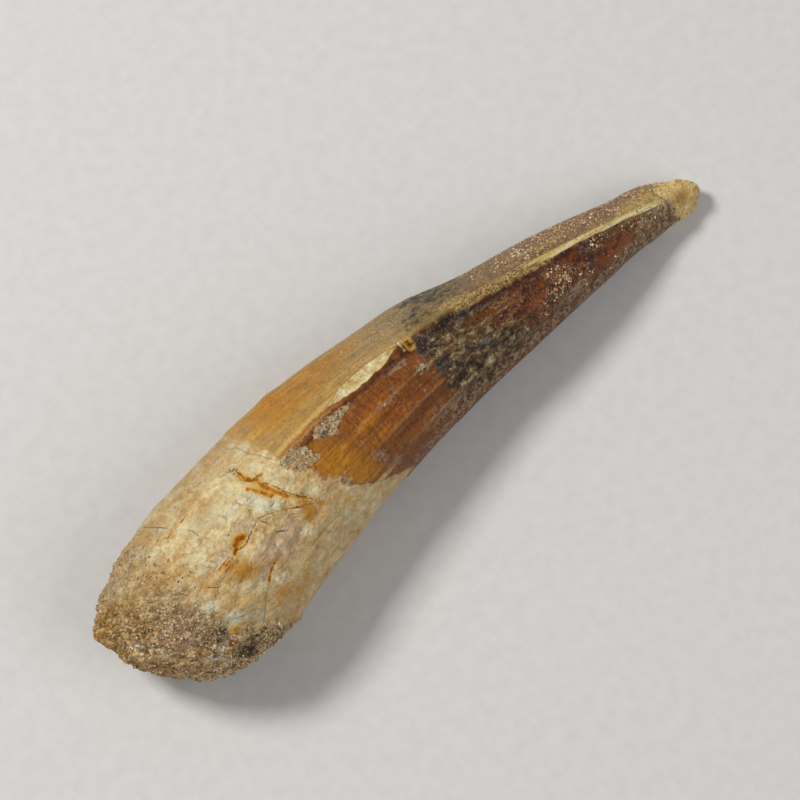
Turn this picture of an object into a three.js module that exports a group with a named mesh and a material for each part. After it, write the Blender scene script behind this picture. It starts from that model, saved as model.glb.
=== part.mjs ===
// A fossil tooth of a fish-eating dinosaur, lying on its side.
// Millimetres, +Z up. +X runs from the broken root towards the tip of the crown.
//
// The tooth is one natural piece: root, enamelled crown and the sandstone that clings to the
// root end and the tip. Its surface is a sphere's grid of rows and columns. Each row becomes
// one oval section across a curved middle line, and low relief is added to that.
//
// Angles go round a section: 0 faces the inside of the curve, 90 up, 180 the outside of the
// curve and 270 down. Distances run along the middle line from the root end.

import * as THREE from 'three';
import { mergeVertices } from 'three/addons/utils/BufferGeometryUtils.js';

// ---- driving dimensions, in millimetres and degrees ----
const TOOTH_LENGTH = 58.4;
const HALF_WIDTHS = [6.6, 6.66, 5.82, 4.39, 2.88, 1.2]; // even steps from root end to tip
const HALF_DEPTHS = [5.8, 5.74, 5.1, 4.08, 2.9, 1.47];

const ROOT_HEADING = 8.4; // how the middle line is turned about Z
const CROWN_HEADING = -7.4;
const TIP_HEADING = -21.7;
const BEND = [0.16, 0.68]; // share of the length over which root turns into crown
const TIP_BEND = [0.86, 1.0];

const ROOT_END_ROUNDING = 9.5; // length of the rounded root end
const ROOT_END_FULLNESS = 2.6; // 2 is an ellipse, more is squarer
const ROOT_END_SLANT = 2.0; // how far the outer side starts ahead of the inner side
const SLANT_FADE = 14.6;
const TIP_ROUNDING = 2.4;
const TIP_FULLNESS = 2.3;

const RESTING_CUT = 0.28; // depth of the worn flat that the root rests on
const CROWN_LIFT = 0.7; // how far the crown arches clear of the surface
const CROWN_LIFT_FROM = 29;

const RIDGE_ANGLES = [97, 97, 100.5, 103.5, 94, 80]; // cutting ridge, root end to tip
const RIDGE_HEIGHTS = [0, 0.05, 0.3, 0.5, 0.42, 0];
const RIDGE_HALF_WIDTH = 0.6;
const HIDDEN_RIDGE_TURN = 200; // the second cutting ridge, from the first one
const HIDDEN_RIDGE_SHARE = 0.7;
const UNDERCUT_DEPTH = 0.16; // groove below the ridge, on the fluted face
const UNDERCUT_OFFSET = -1.15;
const UNDERCUT_WIDTH = 0.55;

const FACET_TURN = 39; // middle of the flattened outer face, from the ridge
const FACET_HALF_ANGLE = 38;
const FACET_DEPTH = 0.09; // share of the half width

const FLUTES = 18; // as many as would fit round the whole section
const FLUTE_SHIFT = 6.5; // from the ridge to the nearest crest, in degrees
const FLUTE_DEPTH = 0.12;
const FLUTED_FROM = 3; // past the enamel's edge
const FLUTED_TO = 50;
const FLUTED_FACE = [-48, 92]; // angles

const ENAMEL_EDGE = [25, 20.2, 17.9, 17, 16.9, 17.2, 18, 20.5]; // distance at every 45 degrees
const ENAMEL_THICKNESS = 0.14;
const ENAMEL_TAPER = 0.7;

const CHIP = { distance: 26.4, halfLength: 3.7, width: 0.85, depth: 0.3 }; // broken out of the ridge

const CRUST_EDGE = [9.6, 4.9, 5.6, 6.9, 6.6, 5.6, 5.2, 7.6]; // sandstone on the root, every 45 degrees
const CRUST_THICKNESS = 0.16;
const CRUST_TAPER = 0.9;
const CRUST_ROUGHNESS = 0.2;
const TIP_CRUST_FROM = 52.5;
const TIP_CRUST_ROUGHNESS = 0.15;

// Lumps stand out and hollows go in, each a soft round swell: distance, angle, radius, height.
const LUMPS = [
  [1.2, 157, 0.85, 0.55],
  [3.6, 106, 1.5, 0.3],
  [2.4, 72, 1.2, 0.3],
  [3.8, 24, 1.1, 0.3],
  [5.6, 1, 1.0, 0.1],
  [4.1, 134, 1.1, 0.22],
  [2.8, 205, 1.3, 0.3],
  [4.6, 238, 1.2, 0.2],
  [3.2, 318, 1.3, 0.35],
  [6.4, 338, 0.9, 0.25],
  [9.8, 8, 0.9, 0.2],
  [9.2, 70, 1.4, 0.16],
  [12.6, 58, 1.0, 0.14],
  [10.6, 33, 1.6, 0.16],
  [14.6, 78, 1.2, 0.12],
  [21.2, 167, 0.6, 0.16],
  [21.4, 89, 1.0, 0.22],
  [18.6, 91, 1.1, 0.2],
  [45.1, 54, 0.9, 0.12],
  [54.7, 143, 0.9, 0.28],
  [57.2, 112, 0.7, 0.2],
  [55.8, 40, 0.8, 0.14],
  [32.8, 170, 2.2, 0.3],
  [53.2, 166, 0.9, 0.22],
  [10.0, 172, 1.6, 0.16],
  [1.7, 345, 1.2, 0.3],
  [53.4, 352, 1.0, 0.18],
];
const HOLLOWS = [
  [1.7, 94, 0.8, 0.4],
  [4.3, 50, 0.9, 0.3],
  [6.1, 35, 0.8, 0.22],
  [5.2, 88, 0.8, 0.2],
  [5.2, 178, 1.0, 0.2],
  [10.6, 80, 0.6, 0.38],
  [12.2, 47, 1.3, 0.24],
  [14.0, 64, 1.2, 0.18],
  [8.4, 46, 1.1, 0.2],
  [15.8, 42, 1.3, 0.14],
  [31.0, 99, 0.55, 0.3],
  [33.6, 40, 1.5, 0.12],
  [56.7, 72, 0.75, 0.34],
  [3.0, 168, 1.3, 0.38],
  [38.5, 168, 2.2, 0.18],
  [6.2, 352, 1.4, 0.3],
];

// ---- how fine the surface is ----
const COLUMNS = 96;
const ROOT_END_ROWS = 12;
const TIP_ROWS = 6;
const BODY_ROWS = 33;
const ROWS = ROOT_END_ROWS + BODY_ROWS + TIP_ROWS;
const MIDDLE_LINE_STEPS = 400;

const { clamp, degToRad, euclideanModulo, lerp, smoothstep } = THREE.MathUtils;

// A value that runs smoothly through evenly spaced stations along the tooth.
function stations(values) {
  const curve = new THREE.SplineCurve(values.map((value, i) => new THREE.Vector2(i, value)));
  return (distance) => curve.getPoint(clamp(distance / TOOTH_LENGTH, 0, 1)).y;
}

// A value that runs smoothly round a section, given at evenly spaced angles.
function roundTheSection(values) {
  const points = values.map((value, i) => new THREE.Vector3(i, value, 0));
  const curve = new THREE.CatmullRomCurve3(points, true, 'catmullrom', 0.5);
  return (angle) => curve.getPoint(euclideanModulo(angle, 360) / 360).y;
}

const halfWidth = stations(HALF_WIDTHS);
const halfDepth = stations(HALF_DEPTHS);
const ridgeAngle = stations(RIDGE_ANGLES);
const ridgeHeight = stations(RIDGE_HEIGHTS);
const enamelEdge = roundTheSection(ENAMEL_EDGE);
const crustEdge = roundTheSection(CRUST_EDGE);

// A soft round swell that is 1 in the middle and falls away like a bell.
function bell(offset, width) {
  return Math.exp(-0.5 * (offset / width) ** 2);
}

// 1 in the middle of a stretch, 0 from its ends outwards, with a flat top.
function hump(offset, half) {
  const share = clamp(Math.abs(offset) / half, 0, 1);
  return (1 - share * share) ** 2;
}

// Turn from one angle to another, between -180 and 180.
function turnBetween(from, to) {
  return euclideanModulo(to - from + 180, 360) - 180;
}

// ---- the curved middle line ----
function heading(share) {
  const bend = smoothstep(share, BEND[0], BEND[1]);
  const hook = smoothstep(share, TIP_BEND[0], TIP_BEND[1]);
  const degrees = lerp(ROOT_HEADING, CROWN_HEADING, bend) + (TIP_HEADING - CROWN_HEADING) * hook;
  return degToRad(degrees);
}

function walkMiddleLine() {
  const step = TOOTH_LENGTH / MIDDLE_LINE_STEPS;
  const points = [new THREE.Vector2(0, 0)];
  for (let i = 1; i <= MIDDLE_LINE_STEPS; i += 1) {
    const turn = heading((i - 0.5) / MIDDLE_LINE_STEPS);
    const last = points[i - 1];
    points.push(new THREE.Vector2(last.x + step * Math.cos(turn), last.y + step * Math.sin(turn)));
  }
  return points;
}

const middleLine = walkMiddleLine();

function onMiddleLine(distance) {
  const place = clamp(distance / TOOTH_LENGTH, 0, 1) * MIDDLE_LINE_STEPS;
  const i = Math.min(Math.floor(place), MIDDLE_LINE_STEPS - 1);
  return middleLine[i].clone().lerp(middleLine[i + 1], place - i);
}

// ---- the plain form: a tapering oval with two rounded ends ----
function roundedEnd(fromEnd, rounding, fullness) {
  const left = 1 - clamp(fromEnd / rounding, 0, 1);
  return (1 - left ** fullness) ** (1 / fullness);
}

function endRounding(distance) {
  const root = roundedEnd(distance, ROOT_END_ROUNDING, ROOT_END_FULLNESS);
  const tip = roundedEnd(TOOTH_LENGTH - distance, TIP_ROUNDING, TIP_FULLNESS);
  return root * tip;
}

function crownLift(distance) {
  const share = clamp((distance - CROWN_LIFT_FROM) / (TOOTH_LENGTH - CROWN_LIFT_FROM), 0, 1);
  return CROWN_LIFT * Math.sin(Math.PI * share) ** 2;
}

function facet(distance, angle) {
  const offset = turnBetween(ridgeAngle(distance) + FACET_TURN, angle);
  return 1 - FACET_DEPTH * hump(offset, FACET_HALF_ANGLE);
}

// One point of the tooth, pushed out by some relief.
function toothPoint(distance, angle, relief) {
  const middle = onMiddleLine(distance);
  const turn = heading(distance / TOOTH_LENGTH);
  const rounding = endRounding(distance);
  const size = rounding * facet(distance, angle);
  const round = degToRad(angle);
  const width = halfWidth(distance);
  const depth = halfDepth(distance);

  // the section's own outward direction, tipped along the tooth near its two ends
  const outward = new THREE.Vector2(-Math.cos(round) / width, Math.sin(round) / depth).normalize();
  const endwards = Math.sqrt(1 - rounding * rounding) * (distance < TOOTH_LENGTH / 2 ? -1 : 1);

  const across = -width * size * Math.cos(round) + relief * rounding * outward.x;
  const up = depth * size * Math.sin(round) + relief * rounding * outward.y;
  const slant = -ROOT_END_SLANT * (across / HALF_WIDTHS[0]) * (1 - smoothstep(distance, 0, SLANT_FADE));
  const along = slant + relief * endwards;

  const x = middle.x - Math.sin(turn) * across + Math.cos(turn) * along;
  const y = middle.y + Math.cos(turn) * across + Math.sin(turn) * along;
  const z = depth - RESTING_CUT + crownLift(distance) + up;
  return new THREE.Vector3(x, y, Math.max(z, 0));
}

// ---- relief ----
function swells(list) {
  return list.map(([distance, angle, radius, height]) => {
    return { centre: toothPoint(distance, angle, 0), radius, height };
  });
}

const lumps = swells(LUMPS);
const hollows = swells(HOLLOWS);

function swellAt(point, list) {
  return list.reduce((sum, { centre, radius, height }) => {
    return sum + height * bell(point.distanceTo(centre), radius);
  }, 0);
}

// An uneven, pebbly value between about -1 and 1, from waves that cross each other.
function pebbles({ x, y, z }) {
  const coarse = Math.sin(1.7 * x + 1.1 * z) * Math.sin(1.9 * y - 0.8 * z + 1.3);
  const middling = Math.sin(3.1 * x - 1.9 * y + 0.7) * Math.sin(2.7 * z + 1.2 * y);
  return 0.65 * coarse + 0.35 * middling;
}

function ridgeRelief(distance, angle, radius) {
  const turn = turnBetween(ridgeAngle(distance), angle);
  const offset = degToRad(turn) * radius;
  const hidden = degToRad(turnBetween(HIDDEN_RIDGE_TURN, turn)) * radius;
  const height = ridgeHeight(distance);
  const crest = clamp(1 - Math.abs(offset) / RIDGE_HALF_WIDTH, 0, 1);
  const hiddenCrest = clamp(1 - Math.abs(hidden) / RIDGE_HALF_WIDTH, 0, 1);
  const undercut = UNDERCUT_DEPTH * bell(offset - UNDERCUT_OFFSET, UNDERCUT_WIDTH);
  const inEnamel = smoothstep(distance, enamelEdge(angle), enamelEdge(angle) + ENAMEL_TAPER);
  const whole = height * (crest + HIDDEN_RIDGE_SHARE * hiddenCrest) - undercut * inEnamel;

  // the chip takes the crest away and leaves a shallow ledge on its outer side
  const reach = CHIP.width * Math.sqrt(hump(distance - CHIP.distance, CHIP.halfLength));
  const inside = smoothstep(offset, -0.5, 0) * (1 - smoothstep(offset, reach, reach + 0.3));
  const chipped = clamp(reach / 0.4, 0, 1) * inside;
  return lerp(whole, whole * 0.2 - CHIP.depth, chipped);
}

function fluteRelief(distance, angle) {
  const start = enamelEdge(angle) + FLUTED_FROM;
  const fadeOut = 1 - smoothstep(distance, FLUTED_TO - 12, FLUTED_TO);
  const lengthwise = smoothstep(distance, start, start + 4) * fadeOut;
  const middle = (FLUTED_FACE[0] + FLUTED_FACE[1]) / 2;
  const half = (FLUTED_FACE[1] - FLUTED_FACE[0]) / 2;
  const crosswise = Math.sqrt(hump(turnBetween(middle, angle), half));
  const turn = degToRad(turnBetween(ridgeAngle(distance) - FLUTE_SHIFT, angle));
  return FLUTE_DEPTH * lengthwise * crosswise * Math.cos(FLUTES * turn);
}

function crustRelief(point, distance, angle) {
  const root = 1 - smoothstep(distance, crustEdge(angle) - CRUST_TAPER, crustEdge(angle) + CRUST_TAPER);
  const tip = smoothstep(distance, TIP_CRUST_FROM, TOOTH_LENGTH - TIP_ROUNDING);
  const rough = pebbles(point);
  return root * (CRUST_THICKNESS + CRUST_ROUGHNESS * rough) + tip * TIP_CRUST_ROUGHNESS * rough;
}

function relief(distance, angle) {
  const point = toothPoint(distance, angle, 0);
  const radius = halfWidth(distance);
  const enamel = ENAMEL_THICKNESS * smoothstep(distance, enamelEdge(angle), enamelEdge(angle) + ENAMEL_TAPER);
  return (
    enamel +
    ridgeRelief(distance, angle, radius) +
    fluteRelief(distance, angle) +
    crustRelief(point, distance, angle) +
    swellAt(point, lumps) -
    swellAt(point, hollows)
  );
}

// ---- the grid of rows and columns ----
// Rows crowd together over both rounded ends and are even between them.
function rowDistance(row) {
  if (row <= ROOT_END_ROWS) {
    return ROOT_END_ROUNDING * (1 - Math.cos((Math.PI / 2) * (row / ROOT_END_ROWS)));
  }
  const fromTip = ROWS - row;
  if (fromTip <= TIP_ROWS) {
    return TOOTH_LENGTH - TIP_ROUNDING * (1 - Math.cos((Math.PI / 2) * (fromTip / TIP_ROWS)));
  }
  const share = (row - ROOT_END_ROWS) / BODY_ROWS;
  return lerp(ROOT_END_ROUNDING, TOOTH_LENGTH - TIP_ROUNDING, share);
}

function makeToothGeometry() {
  const geometry = new THREE.SphereGeometry(1, COLUMNS, ROWS);
  const { position, uv } = geometry.attributes;
  for (let i = 0; i < position.count; i += 1) {
    const row = Math.round((1 - uv.getY(i)) * ROWS);
    const column = Math.round(uv.getX(i) * COLUMNS) % COLUMNS;
    const distance = rowDistance(row);
    // the first column lies along the crest of the ridge
    const angle = row === 0 || row === ROWS ? 0 : ridgeAngle(distance) + (column * 360) / COLUMNS;
    const point = toothPoint(distance, angle, relief(distance, angle));
    position.setXYZ(i, point.x, point.y, point.z);
  }
  geometry.deleteAttribute('normal');
  geometry.deleteAttribute('uv');
  const closed = mergeVertices(geometry);

  // the origin goes to the middle of the bounding box, on the surface that the tooth rests on
  closed.computeBoundingBox();
  const middle = closed.boundingBox.getCenter(new THREE.Vector3());
  closed.translate(-middle.x, -middle.y, -closed.boundingBox.min.z);
  closed.computeVertexNormals();
  return closed;
}

const toothMaterial = new THREE.MeshStandardMaterial({
  color: 0xb4884f,
  roughness: 0.55,
  metalness: 0,
});

const tooth = new THREE.Mesh(makeToothGeometry(), toothMaterial);
tooth.name = 'tooth';

const fossilTooth = new THREE.Group();
fossilTooth.add(tooth);

export default fossilTooth;
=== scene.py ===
"""A fossil tooth of a fish-eating dinosaur, lying on its side on a pale floor.

The tooth's skin is one fine grid of rows and columns round a curved middle line. Loose sand
grains are two joined meshes, one in the sandstone of the root end and one on the crown. Lengths
are worked out in millimetres and turned into metres when a mesh is made. Angles go round a
section in degrees: 0 faces the inside of the curve, 90 up, 180 the outside of the curve and 270
down.
"""

import math

import bpy
import numpy as np
from mathutils import Matrix, Vector


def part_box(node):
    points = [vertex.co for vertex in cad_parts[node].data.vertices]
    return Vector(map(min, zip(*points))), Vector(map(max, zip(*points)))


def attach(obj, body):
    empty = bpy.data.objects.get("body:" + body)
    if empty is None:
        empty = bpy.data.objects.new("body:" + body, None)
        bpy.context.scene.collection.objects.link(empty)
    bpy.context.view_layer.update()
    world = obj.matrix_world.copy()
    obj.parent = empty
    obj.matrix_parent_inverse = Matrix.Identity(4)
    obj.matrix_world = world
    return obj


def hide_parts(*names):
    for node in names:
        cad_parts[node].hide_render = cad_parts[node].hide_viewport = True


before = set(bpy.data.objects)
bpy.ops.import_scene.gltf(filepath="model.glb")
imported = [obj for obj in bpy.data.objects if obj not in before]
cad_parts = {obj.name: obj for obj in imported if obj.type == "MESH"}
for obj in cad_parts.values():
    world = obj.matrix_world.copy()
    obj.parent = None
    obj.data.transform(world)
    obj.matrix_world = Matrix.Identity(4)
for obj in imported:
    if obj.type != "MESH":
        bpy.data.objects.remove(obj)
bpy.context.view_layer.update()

MM = 0.001

# ---- driving dimensions of the tooth, in millimetres and degrees ----
TOOTH_LENGTH = 58.4
HALF_WIDTHS = (6.6, 6.66, 5.82, 4.39, 2.88, 1.2)
HALF_DEPTHS = (5.8, 5.74, 5.1, 4.08, 2.9, 1.47)

ROOT_HEADING, CROWN_HEADING, TIP_HEADING = 8.4, -7.4, -21.7
BEND = (0.16, 0.68)
TIP_BEND = (0.86, 1.0)

ROOT_END_ROUNDING, ROOT_END_FULLNESS = 9.5, 2.6
ROOT_END_SLANT, SLANT_FADE = 2.0, 14.6
TIP_ROUNDING, TIP_FULLNESS = 2.4, 2.3

RESTING_CUT = 0.28
CROWN_LIFT, CROWN_LIFT_FROM = 0.7, 29

RIDGE_ANGLES = (97, 97, 100.5, 103.5, 94, 80)
RIDGE_HEIGHTS = (0, 0.05, 0.3, 0.5, 0.42, 0)
RIDGE_HALF_WIDTH = 0.6
HIDDEN_RIDGE_TURN, HIDDEN_RIDGE_SHARE = 200, 0.7
UNDERCUT_DEPTH, UNDERCUT_OFFSET, UNDERCUT_WIDTH = 0.16, -1.15, 0.55

FACET_TURN, FACET_HALF_ANGLE, FACET_DEPTH = 39, 38, 0.09

FLUTES, FLUTE_SHIFT, FLUTE_DEPTH = 18, 6.5, 0.12
FLUTED_FROM, FLUTED_TO = 3, 50
FLUTED_FACE = (-48, 92)

ENAMEL_EDGE = (25, 20.2, 17.9, 17, 16.9, 17.2, 18, 20.5)
ENAMEL_THICKNESS, ENAMEL_TAPER = 0.14, 0.35

CHIP_AT, CHIP_HALF_LENGTH, CHIP_WIDTH, CHIP_DEPTH = 26.4, 3.7, 0.72, 0.3
NICK_AT, NICK_HALF_LENGTH, NICK_HALF_WIDTH = 30.25, 0.12, 0.48
CHIP_RAGGEDNESS, RAGGED_FROM, RAGGED_FULLY_FROM = 0.16, 22.6, 24

CRACK_DEPTH, STAINED_CRACK_DEPTH = 0.05, 0.09
WRINKLE_HEIGHT, WRINKLE_SPACING = 0.012, 0.42
ROOT_UNEVENNESS, ROOT_ROUGHNESS = 0.07, 0.022

CRUST_EDGE = (9.6, 4.9, 5.6, 6.9, 6.6, 5.6, 5.2, 7.6)
CRUST_THICKNESS, CRUST_TAPER, CRUST_ROUGHNESS = 0.16, 0.7, 0.2
TIP_CRUST_FROM, TIP_CRUST_ROUGHNESS = 52.5, 0.15
PACKED_GRAIN_HEIGHT, CLUMP_HEIGHT, CRUST_UNEVENNESS = 0.24, 0.34, 0.14
TIP_GRAIN_HEIGHT, TIP_CLUMP_HEIGHT = 0.16, 0.16

# Soft round swells: distance, angle, radius, height.
LUMPS = (
    (1.2, 157, 0.85, 0.55), (3.6, 106, 1.5, 0.3), (2.4, 72, 1.2, 0.3), (3.8, 24, 1.1, 0.3),
    (5.6, 1, 1.0, 0.1), (4.1, 134, 1.1, 0.22), (2.8, 205, 1.3, 0.3), (4.6, 238, 1.2, 0.2),
    (3.2, 318, 1.3, 0.35), (6.4, 338, 0.9, 0.25), (9.8, 8, 0.9, 0.2), (9.2, 70, 1.4, 0.16),
    (12.6, 58, 1.0, 0.14), (10.6, 33, 1.6, 0.16), (14.6, 78, 1.2, 0.12), (21.2, 167, 0.6, 0.16),
    (21.4, 89, 1.0, 0.22), (18.6, 91, 1.1, 0.2), (45.1, 54, 0.9, 0.12), (54.7, 143, 0.9, 0.28),
    (57.2, 112, 0.7, 0.2), (55.8, 40, 0.8, 0.14), (32.8, 170, 2.2, 0.3), (53.2, 166, 0.9, 0.22),
    (10.0, 172, 1.6, 0.16), (1.7, 345, 1.2, 0.3), (53.4, 352, 1.0, 0.18),
)
HOLLOWS = (
    (1.7, 94, 0.8, 0.4), (4.3, 50, 0.9, 0.3), (6.1, 35, 0.8, 0.22), (5.2, 88, 0.8, 0.2),
    (5.2, 178, 1.0, 0.2), (10.6, 80, 0.6, 0.38), (12.2, 47, 1.3, 0.24), (14.0, 64, 1.2, 0.18),
    (8.4, 46, 1.1, 0.2), (15.8, 42, 1.3, 0.14), (31.0, 99, 0.55, 0.3), (33.6, 40, 1.5, 0.12),
    (56.7, 72, 0.75, 0.34), (3.0, 168, 1.3, 0.38), (38.5, 168, 2.2, 0.18), (6.2, 352, 1.4, 0.3),
)

# Small dents and swells that only the skin has: distance, angle, radius, height.
SMALL_SWELLS = (
    (14.3, 63, 0.5, -0.1), (14.7, 56, 0.4, -0.08), (13.0, 59, 0.5, 0.08), (13.6, 53, 0.4, -0.1),
    (12.9, 68, 0.45, -0.09), (12.2, 73, 0.5, 0.06), (12.4, 87, 0.6, -0.08), (11.2, 88, 0.4, 0.06),
    (9.7, 57, 0.45, -0.12), (9.3, 55, 0.35, 0.08), (8.9, 58, 0.4, -0.1), (13.8, 71, 0.4, -0.08),
    (15.0, 88, 0.5, -0.07), (16.6, 88, 0.7, 0.06), (17.0, 78, 0.5, -0.05), (16.1, 66, 0.4, 0.06),
    (10.2, 108, 1.3, -0.07), (12.4, 124, 1.5, 0.06), (7.6, 130, 1.2, 0.08), (8.0, 66, 0.7, -0.07),
    (11.5, 90, 0.3, -0.16), (11.75, 92, 0.3, 0.13), (11.3, 86, 0.28, 0.12), (11.9, 88, 0.28, -0.1),
    (12.95, 75, 0.3, -0.15), (13.2, 72, 0.3, 0.12), (13.3, 65, 0.35, -0.16), (13.0, 62, 0.28, 0.13),
    (12.6, 64, 0.28, -0.12), (10.9, 70, 0.3, 0.14), (10.6, 67, 0.28, -0.14), (9.9, 63, 0.3, 0.14),
    (9.6, 65, 0.25, -0.12), (8.6, 61, 0.3, 0.13), (8.35, 64, 0.28, -0.13), (14.7, 70, 0.28, -0.12),
    (15.3, 61, 0.3, 0.12), (13.5, 91, 0.3, -0.12), (12.7, 91, 0.25, 0.1), (11.9, 63, 0.3, -0.12),
    (11.6, 60, 0.3, 0.12), (12.2, 57, 0.25, -0.1), (14.0, 58, 0.28, 0.11), (7.4, 62, 0.3, -0.1),
    (15.6, 70, 0.25, 0.09), (17.4, 84, 0.3, 0.09), (17.7, 79, 0.3, -0.09), (17.2, 74, 0.3, 0.08),
    (17.9, 72, 0.3, -0.08), (16.6, 53, 0.35, -0.1), (17.0, 49, 0.35, 0.09), (15.2, 47, 0.3, 0.08),
)

# ---- lines and spots on the surface, each as distance, angle points ----
# Thin cracks: half width, then the points they pass through.
DARK_CRACKS = (
    (0.045, ((14.0, 128), (14.5, 125), (14.9, 121))),
    (0.05, ((14.75, 116), (14.65, 110), (14.8, 104), (15.4, 102.5), (15.8, 101))),
    (0.06, ((15.75, 100), (15.4, 96), (15.6, 91), (15.8, 86), (16.0, 79), (16.3, 73),
            (16.8, 67), (17.0, 62))),
    (0.035, ((16.8, 61), (16.0, 66), (15.1, 72), (14.5, 76), (14.1, 78))),
    (0.045, ((14.1, 78), (13.6, 81), (13.0, 83), (12.3, 82), (11.5, 80.5))),
    (0.075, ((11.5, 80), (11.0, 78.5), (10.6, 79.5), (10.2, 81))),
    (0.034, ((9.6, 80), (9.1, 79), (8.2, 77), (7.4, 76), (6.7, 74), (5.8, 72), (5.3, 68),
             (4.5, 62))),
    (0.055, ((14.8, 82.5), (14.35, 81.5))),
    (0.11, ((13.3, 67), (13.7, 64))),
    (0.06, ((13.1, 80), (13.25, 77))),
    (0.03, ((9.7, 51), (8.7, 46), (7.6, 39), (6.3, 29))),
    (0.055, ((8.6, 159), (8.9, 147), (9.1, 136))),
    (0.036, ((9.6, 116), (9.6, 106), (9.7, 100))),
    (0.07, ((6.7, 79), (6.9, 76.5))),
    (0.04, ((5.6, 50), (6.2, 48), (7.1, 45), (7.4, 41))),
    (0.028, ((17.5, 40), (15.9, 41), (14.5, 41))),
    (0.036, ((16.1, 148), (16.6, 139), (16.6, 124), (16.9, 112), (17.1, 105))),
    (0.04, ((30.2, 99), (30.3, 105), (31.0, 107.5))),
    (0.14, ((30.7, 102.6), (31.05, 100.6))),
    (0.03, ((12.1, 200), (13.4, 214), (15.2, 219), (16.4, 232))),
    (0.03, ((9.5, 300), (12.0, 312), (14.8, 308), (17.5, 318))),
)
# Cracks and pits with rusty walls.
STAINED_CRACKS = (
    (0.26, ((14.95, 116), (14.85, 110), (15.0, 104), (15.3, 100))),
    (0.16, ((15.2, 103), (15.8, 101))),
    (0.3, ((15.2, 98), (15.3, 91), (15.55, 84), (15.8, 78))),
    (0.12, ((15.85, 78), (16.25, 72), (16.8, 65))),
    (0.24, ((14.3, 101), (14.6, 96), (14.8, 92), (15.0, 86))),
    (0.4, ((11.25, 83), (10.8, 85), (10.4, 83))),
    (0.24, ((10.4, 82.5), (9.8, 80))),
    (0.16, ((8.9, 82), (8.1, 81.5))),
    (0.1, ((11.5, 57), (10.9, 56), (10.3, 54), (9.7, 51))),
    (0.1, ((10.5, 129), (9.6, 128), (8.9, 129), (8.4, 127))),
    (0.1, ((9.3, 80), (8.6, 80))),
    (0.07, ((14.4, 77), (15.3, 71), (16.0, 65))),
    (0.36, ((30.85, 103), (30.9, 99.5))),
)

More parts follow.
